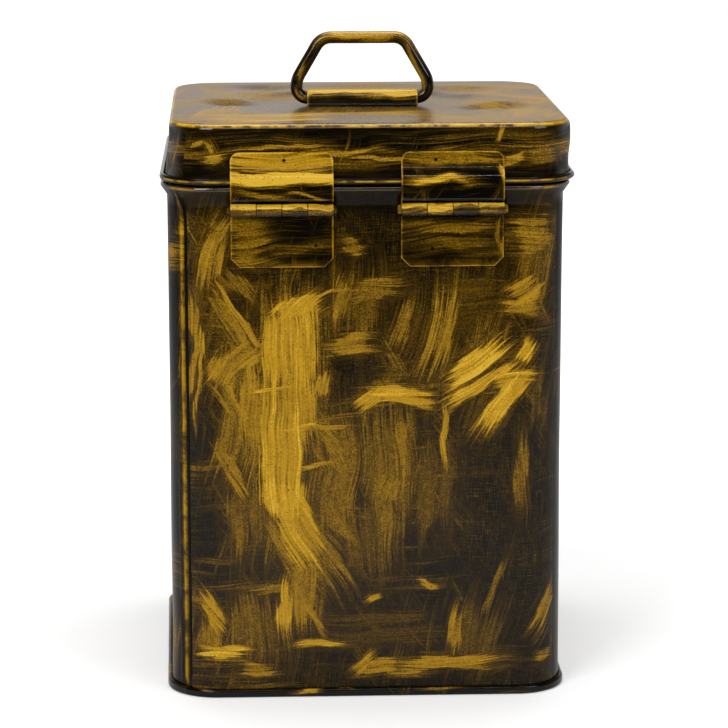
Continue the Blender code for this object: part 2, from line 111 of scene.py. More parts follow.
def rounded_path(corners, closed=False, step=radians(12)):
    """A path through corners given as (x, y, bend radius), with every bend rounded."""
    points = []
    last = len(corners) - 1
    for index, (x, y, radius) in enumerate(corners):
        if radius == 0.0 or (not closed and index in (0, last)):
            points.append((x, y))
            continue
        before = Vector(corners[index - 1][:2])
        after = Vector(corners[(index + 1) % len(corners)][:2])
        corner = Vector((x, y))
        to_before = (before - corner).normalized()
        to_after = (after - corner).normalized()
        half = to_before.angle(to_after) / 2
        tangent = radius * cos(half) / sin(half)
        bisector = (to_before + to_after).normalized()
        centre = corner + bisector * (radius / sin(half))
        first = corner + to_before * tangent - centre
        second = corner + to_after * tangent - centre
        start = atan2(first.y, first.x)
        turn = atan2(first.cross(second), first.dot(second))
        points += arc(centre, radius, start, start + turn, step)
    return points


def roll_up(start, centre, radius, end, step=radians(14)):
    """A straight run from the start that meets a circle and rolls round it to an angle."""
    across = Vector(centre) - Vector(start)
    heading = atan2(across.y, across.x) - asin(radius / across.length)
    return [tuple(start)] + arc(centre, radius, heading - pi / 2, end, step)


def subdivide(points, longest):
    """Split the straight runs of a path so that no run is longer than the given one."""
    result = [points[0]]
    for a, b in zip(points, points[1:]):
        length = (Vector(b) - Vector(a)).length
        count = max(1, ceil(length / longest - 1e-6))
        for i in range(1, count + 1):
            t = i / count
            result.append((a[0] + (b[0] - a[0]) * t, a[1] + (b[1] - a[1]) * t))
    return result


def path_lengths(points):
    """The distance along a path at each of its points."""
    lengths = [0.0]
    for a, b in zip(points, points[1:]):
        lengths.append(lengths[-1] + (Vector(b) - Vector(a)).length)
    return lengths


# The plan outline, by distance round it: 0 is the middle of the hinge side


def plan_at(u):
    """Base point and outward direction at a distance round the plan."""
    leg = STRAIGHT + QUARTER
    place = (u + STRAIGHT / 2) % PERIMETER
    side = int(place // leg)
    along = place - side * leg
    turn = Matrix.Rotation(side * pi / 2, 2)
    if along <= STRAIGHT:
        base = Vector((along - STRAIGHT / 2, -(HALF - CORNER)))
        normal = Vector((0.0, -1.0))
    else:
        angle = (along - STRAIGHT) / CORNER
        base = Vector((STRAIGHT / 2, -(HALF - CORNER)))
        normal = Vector((sin(angle), -cos(angle)))
    return turn @ base, turn @ normal


def foot_splay(x, y, z):
    """How far the foot leans out to the left, most at its far corner."""
    drop = max(0.0, 1 - z / (SHOULDER[1] - SHOULDER_FLARE))
    depth = max(0.0, y / (2 * HALF) + 0.5)
    side = max(0.0, -x / HALF)
    return FOOT_SPLAY * drop * depth * side


def plan_point(u, out, z):
    base, normal = plan_at(u)
    x, y = base + normal * (CORNER + out)
    return Vector((x - foot_splay(x, y, z), y, z))


def ring_stations(side_step, corner_step, extra=(), clear=0.0004):
    """Distances round the plan, starting and ending at the lock seam.  A regular one that
    is not clear of an extra one is left out."""
    stations = {SEAM_U}
    sides = round(STRAIGHT / side_step)
    turns = round(pi / 2 / corner_step)
    for side in range(4):
        start = -STRAIGHT / 2 + side * (STRAIGHT + QUARTER)
        stations.update(start + STRAIGHT * i / sides for i in range(sides + 1))
        stations.update(start + STRAIGHT + QUARTER * i / turns for i in range(1, turns))
    wrapped = sorted((s - SEAM_U) % PERIMETER + SEAM_U for s in stations)
    kept = [s for s in wrapped if all(abs(s - e) > clear for e in extra)]
    return sorted(kept + list(extra))


# Mesh building


def make_object(name, verts, faces, places, materials, slots=()):
    """A mesh whose face corners carry their place on the unrolled sheet, in metres, and
    how much their paint is rubbed off or left bright, as real wearing and as painted highlights and
    painted shade."""
    mesh = bpy.data.meshes.new(name)
    mesh.from_pydata([tuple(v) for v in verts], [], faces)
    attribute = mesh.attributes.new("brush", "FLOAT_VECTOR", "CORNER")
    attribute.data.foreach_set("vector", [value for row in places for place in row for value in place])
    for material in materials:
        mesh.materials.append(material)
    if slots:
        mesh.polygons.foreach_set("material_index", slots)
    mesh.shade_smooth()
    mesh.set_sharp_from_angle(angle=radians(40))
    mesh.update()
    piece = bpy.data.objects.new(name, mesh)
    bpy.context.scene.collection.objects.link(piece)
    return piece


def solidify(piece, thickness, inner_slot=0):
    """Give a sheet its thickness, with the inner face in another material slot."""
    modifier = piece.modifiers.new("Sheet", "SOLIDIFY")
    modifier.thickness = thickness
    modifier.offset = 0.0
    modifier.use_even_offset = True
    modifier.use_quality_normals = True
    modifier.material_offset = inner_slot


def soften(piece, width):
    """Round the sharp edges of a sheet a little."""
    modifier = piece.modifiers.new("Edges", "BEVEL")
    modifier.width = width
    modifier.segments = 2
    modifier.limit_method = "ANGLE"
    modifier.angle_limit = radians(50)
    modifier.harden_normals = False


def band(name, stations, section, heights, move, materials, flip=False, wear_and_light=None, capped=False):
    """A sheet section carried round the plan.  heights are the v places of the rows,
    move(u, out, z) gives each point, wear(u, v) is how much its paint is taken off or left
    bright, for real wearing and for painted highlights and painted shade, and a capped band has one face
    across its last row."""
    count = len(stations)
    verts = [move(u, out, z) for out, z in section for u in stations]
    faces = []
    places = []
    for row in range(len(section) - 1):
        low, high = heights[row], heights[row + 1]
        for i in range(count):
            j = (i + 1) % count
            u0 = stations[i]
            u1 = stations[j] if j else stations[0] + PERIMETER
            corners = ((u0, low), (u1, low), (u1, high), (u0, high))
            faces.append([row * count + i, row * count + j, (row + 1) * count + j, (row + 1) * count + i])
            places.append([(u, v, wear_and_light(u, v) if wear_and_light else 0.0) for u, v in corners])
    if capped:
        ring = list(range(len(verts) - count, len(verts)))
        faces.append(ring)
        places.append([(verts[i].x, verts[i].y, 0.0) for i in ring])
    if flip:
        for row in faces + places:
            row.reverse()
    return make_object(name, verts, faces, places, materials)


def tube(name, points, radius, segments, materials):
    """A closed round rod along points that lie in one plane of constant y, with
    radius(point, angle) round each of them."""
    count = len(points)
    side = Vector((0.0, 1.0, 0.0))
    verts = []
    lengths = [0.0]
    for index, point in enumerate(points):
        after = points[(index + 1) % count]
        lengths.append(lengths[-1] + (after - point).length)
        out = side.cross((after - points[index - 1]).normalized())
        for k in range(segments):
            angle = 2 * pi * k / segments
            verts.append(point + (side * sin(angle) + out * cos(angle)) * radius(point, angle))
    faces = []
    places = []
    for index in range(count):
        this, after = index * segments, (index + 1) % count * segments
        s0, s1 = lengths[index], lengths[index + 1]
        for k in range(segments):
            m = (k + 1) % segments
            v0, v1 = (i / segments * 2 * pi * ROD_RADIUS for i in (k, k + 1))
            faces.append([this + k, this + m, after + m, after + k])
            places.append([(s0, v0, 0.0), (s0, v1, 0.0), (s1, v1, 0.0), (s1, v0, 0.0)])
    return make_object(name, verts, faces, places, materials)


# Node building


class Graph:
    """Short calls for building a node tree."""

    def __init__(self, tree):
        self.tree = tree

    def add(self, kind, **settings):
        node = self.tree.nodes.new(kind)
        for key, value in settings.items():
            setattr(node, key, value)
        return node

    def feed(self, socket, value):
        """Link a socket to another, or set it to a plain value."""
        if isinstance(value, bpy.types.NodeSocket):
            self.tree.links.new(value, socket)
        else:
            socket.default_value = value

    def call(self, kind, values, **settings):
        """A new node with its first inputs fed in order."""
        node = self.add(kind, **settings)
        for socket, value in zip(node.inputs, values):
            self.feed(socket, value)
        return node

    def math(self, operation, *values, clamp=False):
        return self.call("ShaderNodeMath", values, operation=operation, use_clamp=clamp).outputs[0]

    def vector(self, operation, *values):
        return self.call("ShaderNodeVectorMath", values, operation=operation).outputs[0]

    def dot(self, a, b):
        return self.call("ShaderNodeVectorMath", (a, b), operation="DOT_PRODUCT").outputs["Value"]

    def length(self, value):
        return self.call("ShaderNodeVectorMath", (value,), operation="LENGTH").outputs["Value"]

    def split(self, value):
        return self.call("ShaderNodeSeparateXYZ", (value,)).outputs

    def combine(self, x, y, z):
        return self.call("ShaderNodeCombineXYZ", (x, y, z)).outputs[0]

    def turned(self, place, angle):
        """A place turned back by an angle in the plane of the sheet."""
        node = self.add("ShaderNodeVectorRotate", rotation_type="Z_AXIS", invert=True)
        self.feed(node.inputs["Vector"], place)
        self.feed(node.inputs["Angle"], angle)
        return node.outputs[0]

    def ramp(self, value, low, high, to_low=0.0, to_high=1.0):
        return self.call(
            "ShaderNodeMapRange", (value, low, high, to_low, to_high),
            interpolation_type="SMOOTHSTEP", clamp=False).outputs[0]

    def noise(self, place, scale, detail=2.0, roughness=0.5, distortion=0.0):
        node = self.add("ShaderNodeTexNoise", noise_dimensions="3D")
        self.feed(node.inputs["Vector"], place)
        node.inputs["Scale"].default_value = scale
        node.inputs["Detail"].default_value = detail
        node.inputs["Roughness"].default_value = roughness
        node.inputs["Distortion"].default_value = distortion
        return node.outputs

    def swing(self, texture):
        """A noise texture's value less its middle value."""
        return self.math("SUBTRACT", texture["Fac"], 0.5)

    def mix(self, share, a, b):
        node = self.add("ShaderNodeMix", data_type="RGBA", blend_type="MIX")
        self.feed(node.inputs[0], share)
        self.feed(node.inputs[6], a)
        self.feed(node.inputs[7], b)
        return node.outputs[2]

    def colours(self, value, stops):
        node = self.call("ShaderNodeValToRGB", (value,))
        ramp = node.color_ramp
        while len(ramp.elements) < len(stops):
            ramp.elements.new(0.5)
        for element, (position, colour) in zip(ramp.elements, stops):
            element.position = position
            element.color = (*colour, 1.0)
        return node.outputs[0]

    def either(self, a, b):
        """Screen two coverages: 1 - (1 - a)(1 - b)."""
        product = self.math("MULTIPLY", a, b)
        return self.math("SUBTRACT", self.math("ADD", a, b), product)


def socket_group(name, inputs, outputs):
    tree = bpy.data.node_groups.new(name, "ShaderNodeTree")
    for label, kind in inputs:
        tree.interface.new_socket(label, in_out="INPUT", socket_type=kind)
    for label, kind in outputs:
        tree.interface.new_socket(label, in_out="OUTPUT", socket_type=kind)
    graph = Graph(tree)
    return tree, graph, graph.add("NodeGroupInput").outputs, graph.add("NodeGroupOutput").inputs


def bristle_group():
    """Fine lines along one direction of the sheet: the marks of a brush's bristles."""
    tree, g, inputs, outputs = socket_group(
        "bristles",
        [("Place", "NodeSocketVector"), ("Angle", "NodeSocketFloat")],
        [("Lines", "NodeSocketFloat"), ("Ragged", "NodeSocketFloat")])
    turned = g.turned(inputs["Place"], inputs["Angle"])
    wander = g.noise(inputs["Place"], 24.0, 1.0)
    bent = g.vector("MULTIPLY_ADD", wander["Color"], (0.0, 0.010, 0.0), turned)

    def lines(along, across, detail, roughness):
        return g.swing(g.noise(g.vector("MULTIPLY", bent, (along, across, 1.0)), 1.0, detail, roughness))

    fine = g.math("MULTIPLY", lines(30.0, 1000.0, 2.0, 0.65), 1.5)
    broad = g.math("MULTIPLY", lines(13.0, 210.0, 2.0, 0.55), 1.3)
    g.feed(outputs["Lines"], g.math("ADD", fine, broad))
    g.feed(outputs["Ragged"], lines(9.0, 620.0, 2.5, 0.7))
    return tree


def stroke_group():
    """One stroke of a half-dry brush: full in its middle, broken into lines at its
    sides and ends.  Along and Across are the stroke's two directions, each divided by
    its half size, so the stroke runs from -1 to 1 in both."""
    tree, g, inputs, outputs = socket_group(
        "brush_stroke",
        [("Place", "NodeSocketVector"), ("Centre", "NodeSocketVector"), ("Along", "NodeSocketVector"),
         ("Across", "NodeSocketVector"), ("Bend", "NodeSocketFloat"), ("Load", "NodeSocketFloat"),
         ("Lines", "NodeSocketFloat"), ("Ragged", "NodeSocketFloat")],
        [("Paint", "NodeSocketFloat")])
    offset = g.vector("SUBTRACT", inputs["Place"], inputs["Centre"])
    along = g.dot(offset, inputs["Along"])
    across = g.dot(offset, inputs["Across"])
    sag = g.math("MULTIPLY", g.math("MULTIPLY", along, along), inputs["Bend"])
    side = g.math("SUBTRACT", 1.0, g.math("ABSOLUTE", g.math("SUBTRACT", across, sag)))
    end = g.math("SUBTRACT", 1.0, g.math("ABSOLUTE", along))
    end = g.math("MULTIPLY_ADD", inputs["Ragged"], 1.3, end)
    side = g.math("MULTIPLY_ADD", inputs["Ragged"], 0.45, side)
    dryness = g.math("SUBTRACT", 1.0, inputs["Load"])
    shape = g.math("MULTIPLY", g.ramp(side, -0.10, 0.45), g.ramp(end, -0.20, 0.90))
    streaks = g.math("MULTIPLY", inputs["Lines"], g.math("MULTIPLY_ADD", dryness, 1.0, 0.75))
    broken = g.math("MULTIPLY_ADD", shape, 1.20, streaks)
    core = g.ramp(broken, 0.02, g.math("MULTIPLY_ADD", dryness, 0.55, 0.80))
    core = g.math("MULTIPLY", core, g.ramp(shape, 0.0, 0.35))
    around = g.math("MULTIPLY", g.ramp(side, -1.5, 0.4), g.ramp(end, -0.9, 0.4))
    veil = g.math("MULTIPLY_ADD", inputs["Lines"], 0.95, g.math("MULTIPLY", around, 0.75))
    veil = g.math("MULTIPLY", g.ramp(veil, 0.10, 1.00), g.math("MULTIPLY", around, 0.56))
    body = g.math("MULTIPLY", g.math("MAXIMUM", core, veil), inputs["Load"])
    grain = g.math("MULTIPLY_ADD", inputs["Lines"], 0.85, 1.0)
    g.feed(outputs["Paint"], g.math("MULTIPLY", body, grain))
    return tree


BRISTLES = bristle_group()
STROKE = stroke_group()
# The directions, in degrees, in which there are bristle lines to choose from
BRISTLE_ANGLES = [2, 35, 55, 76, 90, 124]

# How fine the textures of the paint are, in noise cells per metre
WEAVE_SCALE = 1700.0
GRIT_SCALE = 1150.0
PIT_SCALE = 760.0
BLOTCH_SCALE = 330.0
WORN_EDGE_SCALE = 95.0
SHAKE_SCALE = 42.0
SHAKE = 0.010
WEAVE_STRETCH = 0.07

# The colours from bare black gloss up to the thickest gold, by how much paint there is
PAINT_COLOURS = [
    (0.0, (0.0022, 0.0016, 0.0006)),
    (0.14, (0.034, 0.0180, 0.0010)),
    (0.34, (0.120, 0.0610, 0.0020)),
    (0.60, (0.305, 0.162, 0.0040)),
    (0.88, (0.500, 0.272, 0.0090)),
    (1.0, (0.640, 0.392, 0.0300)),
]


def in_metres(laid):
    """A stroke with its place and half sizes in metres and its angle in radians."""
    u, v, angle, length, width, bend, load = laid
    return u * MM, v * MM, radians(angle), length * MM, width * MM, bend, load


def new_material(name):
    """A material with its node graph and its main shader."""
    material = bpy.data.materials.new(name)
    material.use_nodes = True
    return material, Graph(material.node_tree), material.node_tree.nodes["Principled BSDF"]


def add_relief(g, shader, height, strength, distance):
    """Tilt a shader's surface by a height field."""
    relief = g.add("ShaderNodeBump")
    relief.inputs["Strength"].default_value = strength
    relief.inputs["Distance"].default_value = distance
    g.feed(relief.inputs["Height"], height)
    g.feed(shader.inputs["Normal"], relief.outputs[0])


def brushed_paint(name, strokes=(), haze=(0.5, 0.4, 0.35), patch=26.0, dots=(), rubs_and_shade=(),
                  roughness=(0.20, 0.42), attribute=True, tint=None, seed=0.0, ior=1.28,
                  slants=(2, 76, 124), veil=0.50, relief_strength=0.30, line_gain=1.10,
                  film=0.0):
    """Gold dry-brushed over black gloss.  strokes are (u, v, angle, half length, half
    width, bend, load), in millimetres, degrees and curvature per metre, and the rubbed
    places are given the same way, but wipe the gold away, as real rubbing and in some calls as painted
    shade; dots are (u, v, radius, depth), in millimetres; haze is how much thin brushing there is in each
    of the three directions of slants, and film how much gold is left on the sheet's grain."""
    material, g, shader = new_material(name)
    if attribute:
        carried = g.split(g.add("ShaderNodeAttribute", attribute_name="brush").outputs["Vector"])
        place = g.combine(carried[0], carried[1], 0.0)
        worn_and_lit = carried[2]
    else:
        place = g.add("ShaderNodeTexCoord").outputs["Object"]
        worn_and_lit = 0.0
    seeded = g.vector("ADD", place, (seed * 0.37, seed * 0.61, seed))
    lines = {}

    def bristles(angle):
        """The lines of the bristle direction nearest to an angle in degrees."""
        nearest = min(BRISTLE_ANGLES, key=lambda other: abs((angle - other + 90) % 180 - 90))
        if nearest not in lines:
            node = g.add("ShaderNodeGroup", node_tree=BRISTLES)
            g.feed(node.inputs["Place"], seeded)
            node.inputs["Angle"].default_value = radians(nearest)
            lines[nearest] = node.outputs
        return lines[nearest]

    def sweeps(angle, amount):
        """Long overlapping passes of a nearly dry brush in one direction."""
        turned = g.turned(seeded, radians(angle))
        stretch = g.vector("MULTIPLY", turned, (patch * 0.55, patch * 1.9, 1.0))
        passes = g.swing(g.noise(stretch, 1.0, 3.0, 0.55, 0.5))
        cover = g.math("MULTIPLY_ADD", passes, 2.4, amount - 0.5)
        total = g.math("MULTIPLY_ADD", bristles(angle)["Lines"], line_gain, cover)
        return g.math("MULTIPLY", g.ramp(total, -0.26, 0.66), veil)

    def stroke(laid):
        """The paint that one stroke lays down."""
        u, v, turn, length, width, bend, load = in_metres(laid)
        field = bristles(laid[2])
        node = g.add("ShaderNodeGroup", node_tree=STROKE)
        for label, value in (
                ("Place", warped), ("Centre", (u, v, 0.0)),
                ("Along", (cos(turn) / length, sin(turn) / length, 0.0)),
                ("Across", (-sin(turn) / width, cos(turn) / width, 0.0)),
                ("Bend", bend * length * length / width), ("Load", load),
                ("Lines", field["Lines"]), ("Ragged", field["Ragged"])):
            g.feed(node.inputs[label], value)
        return node.outputs[0]

    def strands(stretch):
        """Fine noise drawn out along one direction of the sheet."""
        return g.noise(g.vector("MULTIPLY", seeded, stretch), WEAVE_SCALE, 2.0, 0.6)["Fac"]

    shake = g.vector("SUBTRACT", g.noise(seeded, SHAKE_SCALE, 2.0)["Color"], (0.5, 0.5, 0.5))
    warped = g.vector("MULTIPLY_ADD", shake, (SHAKE, SHAKE, 0.0), place)
    patches = g.noise(seeded, patch, 3.0, 0.55, 0.6)["Fac"]
    wide = g.swing(g.noise(seeded, patch * 0.33, 2.0, 0.5, 0.3))
    paint = sweeps(slants[0], haze[0])
    for angle, amount in zip(slants[1:], haze[1:]):
        paint = g.math("MAXIMUM", paint, sweeps(angle, amount))
    drift = g.math("MULTIPLY_ADD", wide, 1.1, 1.0)
    paint = g.math("MULTIPLY", paint, g.math("MAXIMUM", drift, 0.15))
    if tint:
        paint = tint(g, place, paint)
    for rub in rubs_and_shade:
        kept = g.math("MAXIMUM", g.math("SUBTRACT", 1.0, stroke(rub)), 0.0)
        paint = g.math("MULTIPLY", paint, kept)
    if film:
        # A breath of gold stays on the sheet's grain where the rest was rubbed away
        weave = g.math("ADD", strands((WEAVE_STRETCH, 1.0, 1.0)), strands((1.0, WEAVE_STRETCH, 1.0)))
        weave = g.ramp(weave, 0.88, 1.36, 0.0, film)
        weave = g.math("MULTIPLY", weave, g.ramp(patches, 0.35, 0.60, 0.35, 1.0))
        if tint:
            weave = tint(g, place, weave)
        paint = g.math("MAXIMUM", paint, weave)
    thin = paint
    for laid in strokes:
        paint = g.math("MAXIMUM", paint, stroke(laid))

    # Thin paint catches only on the high points of the sheet's fine grain
    grit = g.swing(g.noise(seeded, GRIT_SCALE, 2.0, 0.6))
    blotch = g.swing(g.noise(seeded, BLOTCH_SCALE, 2.0, 0.6))
    rough_grain = g.math("MULTIPLY_ADD", blotch, 1.1, g.math("MULTIPLY", grit, 2.6))
    hold = g.ramp(paint, 0.15, 0.95, 1.0, 0.30)
    mottle = g.math("MAXIMUM", g.math("MULTIPLY_ADD", rough_grain, hold, 1.0), 0.05)
    pits = g.ramp(g.noise(seeded, PIT_SCALE, 1.0, 0.5)["Fac"], 0.66, 0.74, 1.0, 0.40)
    paint = g.math("MULTIPLY", paint, g.math("MULTIPLY", mottle, pits))
    for u, v, radius, depth in dots:
        far = g.length(g.vector("SUBTRACT", place, (u * MM, v * MM, 0.0)))
        hole = g.ramp(far, radius * MM * 0.6, radius * MM, depth, 0.0)
        paint = g.math("MULTIPLY", paint, g.math("SUBTRACT", 1.0, hole))

    # A carried value below 0 takes the paint off, and one above 0 leaves bright broken gold: real
    # wearing, and also painted shade and painted highlights
    if attribute:
        paint = g.math("MULTIPLY", paint, g.math("MAXIMUM", g.math("ADD", 1.0, worn_and_lit), 0.0))
    broken = g.ramp(g.noise(seeded, WORN_EDGE_SCALE, 3.0, 0.6)["Fac"], 0.36, 0.60, 0.22, 1.0)
    edge_wear_and_highlight = g.math("MULTIPLY", g.math("MAXIMUM", worn_and_lit, 0.0), broken)
    paint = g.either(g.math("MULTIPLY", paint, 0.90, clamp=True), edge_wear_and_highlight)
    g.feed(shader.inputs["Base Color"], g.colours(paint, PAINT_COLOURS))
    cloud = g.math("MULTIPLY", wide, 0.12)
    rough = g.math("ADD", g.ramp(paint, 0.1, 0.7, roughness[0], roughness[1]), cloud)
    g.feed(shader.inputs["Roughness"], rough)
    shader.inputs["IOR"].default_value = ior
    height = g.math("MULTIPLY_ADD", bristles(2)["Lines"], 0.25, thin)
    add_relief(g, shader, g.math("MULTIPLY_ADD", patches, 0.8, height), relief_strength, 0.0002)
    return material


def dark_lacquer(name, colour=(0.030, 0.022, 0.014), roughness=0.32):
    """Brown-black stoving lacquer, slightly uneven, for the faces inside the tin."""
    material, g, shader = new_material(name)
    place = g.add("ShaderNodeTexCoord").outputs["Object"]
    cloud = g.noise(place, 24.0, 4.0, 0.55)["Fac"]
    fine = g.noise(place, 700.0, 2.0)["Fac"]
    lighter = tuple(c * 1.9 for c in colour)
    g.feed(shader.inputs["Base Color"], g.mix(g.ramp(cloud, 0.35, 0.7), (*colour, 1.0), (*lighter, 1.0)))
    g.feed(shader.inputs["Roughness"], g.math("MULTIPLY_ADD", cloud, 0.2, roughness - 0.1))
    add_relief(g, shader, fine, 0.2, 0.0001)
    return material


def drawn_steel(name):
    """Plain wire, drawn, with faint lengthwise marks and a little rust."""
    material, g, shader = new_material(name)
    place = g.add("ShaderNodeTexCoord").outputs["Object"]
    marks = g.noise(place, 1200.0, 2.0)["Fac"]
    rust = g.ramp(g.noise(place, 90.0, 4.0, 0.6)["Fac"], 0.55, 0.7)
    colour = g.mix(rust, (0.36, 0.35, 0.33, 1.0), (0.16, 0.07, 0.03, 1.0))
    g.feed(shader.inputs["Base Color"], colour)
    g.feed(shader.inputs["Metallic"], g.math("SUBTRACT", 1.0, rust))
    g.feed(shader.inputs["Roughness"], g.math("MULTIPLY_ADD", marks, 0.25, 0.3))
    return material


def refinish(node, material):
    """Give a piece that is kept from the solids a finished material."""
    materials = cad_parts[node].data.materials
    materials.clear()
    materials.append(material)


# Materials of the tin

# Strokes on the hinge side of the body: where the brush was laid on and dragged off
BODY_STROKES = [
    (-40, 179, 89, 29, 16.5, 0, 0.8), (-34.8, 201.1, 20, 16, 5.5, 0, 0.85),
    (-45.2, 142.3, 90, 21.2, 10.1, 0, 0.75), (-34.4, 87.6, -71, 28.4, 10.2, 0, 0.78),
    (-43.4, 106, 85, 12.2, 13.7, 0, 0.9), (-42.3, 47.2, 88, 18.9, 4.6, 0, 0.9),
    (-29, 45.5, -70, 19.4, 2.6, 0, 0.6), (-67.9, 191.2, -60, 25, 5, 3, 0.46),
    (-72.6, 169.8, 60, 11, 7, 0, 0.65), (-67.8, 151.8, -55, 18.1, 4.5, 0, 0.55),
    (-69.1, 119.8, -66, 18.2, 4, 0, 0.55), (-86.4, 192.9, 100, 21, 4, 0, 0.5),
    (-74.7, 24.3, -4, 14.3, 3.6, 0, 0.95), (-56.8, 14.5, -12, 12.3, 3.6, 0, 0.6),
    (-23.5, 26.9, -2, 14.3, 1.5, 0, 0.8), (-9.8, 183.6, 12, 16.1, 5.5, -3, 0.6),
    (-22.4, 161.7, 70, 8.1, 5, 0, 0.7), (-16, 127, -68, 26.3, 4, 0, 0.5),
    (-16.1, 93.2, -55, 18.3, 6.1, 0, 0.42), (-26, 140.6, 6, 23.2, 1.5, 0, 0.7),
    (-24.6, 121.9, 4, 12.1, 1.5, 0, 0.7), (-45.8, 56.8, 2, 18.3, 2.5, 0, 0.45),
    (-78.5, 44.5, -60, 15, 4.6, 0, 0.72), (-2.5, 17, 40, 8.7, 2.6, 0, 0.7),
    (54, 173.2, 35, 21.2, 6.1, -3, 1), (69, 153.6, 52, 21.3, 5.6, 2, 0.92),
    (73.4, 165.4, 8, 13.7, 4.6, 0, 0.8), (81.4, 179.7, 60, 6.6, 4.5, 0, 0.9),
    (16.9, 156.1, -8, 18.2, 5, -3, 0.85), (2.3, 154.2, 30, 8.6, 5, 0, 0.8),
    (38.2, 136.8, 90, 22.8, 2, 0, 0.7), (17.9, 129.8, 88, 23.8, 4.1, 0, 0.5),
    (78.4, 115.1, -88, 26, 4.1, 0, 0.4), (36, 188.8, 72, 32.2, 7, 0, 0.62),
    (18.4, 193, 72, 18.1, 4, 0, 0.42), (79.1, 209.3, 25, 12.1, 7, 3, 0.7),
    (77.7, 201.2, -5, 13.6, 4, 0, 0.6), (92.3, 44, 65, 17, 4.6, 0, 0.62),
    (65, 57, 68, 27.1, 2, 0, 0.42), (31.3, 59.5, -20, 6.6, 2, 0, 0.65),
    (45.2, 35, 82, 14.9, 4.6, 0, 0.58), (41.1, 16.4, 3, 31.9, 4.1, 0, 0.74),
    (5.2, 15.3, 10, 13.3, 4.1, 0, 0.62), (92.6, 18.4, 5, 7.2, 2.6, 0, 0.5),
    (2.7, 51.4, 25, 5.1, 1.5, 0, 0.75), (10.3, 89.7, 90, 18.3, 4.1, 0, 0.42),
    (9.3, 109.6, 80, 11.2, 7.1, 0, 0.48), (-79.5, 225.8, 74, 18.9, 7, 0, 0.6),
    (-75.3, 240.9, 60, 11.9, 6, 0, 0.5), (83.9, 238.2, 10, 14, 11, 0, 0.52),
    (-8.6, 233.9, -25, 8, 4.5, 0, 0.45), (2.3, 211, 12, 20, 7, 0, 0.42),
    (-13.7, 206, 75, 15, 4, 0, 0.45), (-63.7, 214.1, -35, 15, 5, 0, 0.42),
    (51.5, 210.6, 5, 20.1, 6, 0, 0.22), (-82, 215, 82, 42, 10, 0, 0.28),
    (-70, 195, -58, 33, 2.8, 5, 0.5), (-64, 196, -56, 30, 1.6, 5, 0.6), (-88, 174, 84, 32, 2.2, 3, 0.6),
    (-84, 170, 86, 30, 1.2, 3, 0.66), (-66, 170, 75, 22, 13, 0, 0.45), (-64, 133, 80, 26, 14, 0, 0.44),
    (-60, 95, -80, 26, 13, 0, 0.4), (-18, 118, 88, 42, 16, 0, 0.4), (11, 123, 89, 42, 18, 0, 0.36),
    (-6, 203, 84, 25, 14, 0, 0.34), (23, 190, 74, 30, 15, 0, 0.2), (48, 196, 10, 26, 9, 0, 0.2),
    (-30, 76, -66, 33, 18, 0, 0.44), (2, 84, 84, 30, 16, 0, 0.3), (34, 112, 88, 30, 12, 0, 0.28),
    (-5, 34, 2, 50, 12, 0, 0.2), (54, 30, 76, 24, 15, 0, 0.28), (-56, 35, 88, 26, 15, 0, 0.34),
    (86, 225, 80, 28, 10, 0, 0.36), (55.5, 162, 33, 26, 3, -3, 0.9), (56, 150, 70, 20, 12, 0, 0.2),
    (-46, 160, 12, 13, 0.8, 4, 0.95), (-24, 208, 24, 22, 0.7, -5, 0.72), (-30, 141, 5, 20, 0.8, 0, 0.8),
    (-36, 183, 90, 28, 12, 0, 0.8), (-43, 130, 87, 34, 12.5, 0, 0.84),
    (-38.5, 148, 91, 30, 15, 0, 0.72), (-56, 150, 84, 30, 11, 0, 0.62), (-33, 56, 84, 24, 10, 0, 0.55),
    (-64, 178, 20, 12, 8, 0, 0.62), (-80, 32, 84, 12, 8, 0, 0.5),
]

# Where the gold was rubbed away again
BODY_RUBS = [
    (20, 233, 2, 60, 22, 0, 0.45), (45, 206, 2, 36, 11, 0, 0.45), (78, 48, 84, 30, 16, 0, 0.5),
    (6, 196, 80, 26, 10, 0, 0.3), (85, 50, 84, 40, 10, 0, 0.6), (10, 220, 4, 30, 20, 0, 0.45),
    (16, 198, 4, 26, 11, 0, 0.45), (64, 118, 85, 42, 26, 0, 0.6), (65, 80, 70, 35, 20, 0, 0.45),
    (2, 240, 0, 24, 14, 0, 0.6), (20, 218, 2, 56, 26, 0, 0.4), (70, 95, 86, 50, 22, 0, 0.3),
    (78, 42, 2, 26, 26, 0, 0.45), (-88, 164, 88, 26, 11, 0, 0.55), (-86, 98, 88, 26, 11, 0, 0.35),
    (12, 93, 88, 30, 12, 0, 0.5), (42, 216, 4, 30, 8, 0, 0.35), (-8, 168, 10, 17, 9, 0, 0.6),
    (30, 174, 70, 22, 9, 0, 0.55), (98, 150, 88, 70, 6, 0, 0.45), (-8, 62, 60, 30, 12, 0, 0.4),
    (-60, 95, 80, 25, 8, 0, 0.35), (40, 6, 0, 60, 5, 0, 0.7), (56, 45, 84, 18, 11, 0, 0.55),
]

STROKE_ANGLES = [2, 14, 35, 55, 72, 88, 90, 118, 150, -8]


def scattered_strokes(count, low, high, seed, load=0.85):
    """Strokes laid anywhere in a stretch of sheet, in a fixed order."""
    draw = random.Random(seed)
    strokes = []
    for _ in range(count):
        angle = draw.choice(STROKE_ANGLES)
        strokes.append((
            draw.uniform(low[0], high[0]), draw.uniform(low[1], high[1]), angle,
            draw.uniform(18, 46), draw.uniform(3, 14), draw.uniform(-3, 3),
            load * draw.uniform(0.35, 1.0)))
    return strokes


def body_tint(g, place, paint):
    """A thinner gold haze low down, and very little on the rolled shoulder."""
    v = g.split(place)[1]
    low = g.ramp(v, 0.02, 0.20, 0.80, 1.05)
    return g.math("MULTIPLY", paint, g.math("MULTIPLY", low, g.ramp(v, 0.2440, 0.2530, 1.0, 0.16)))


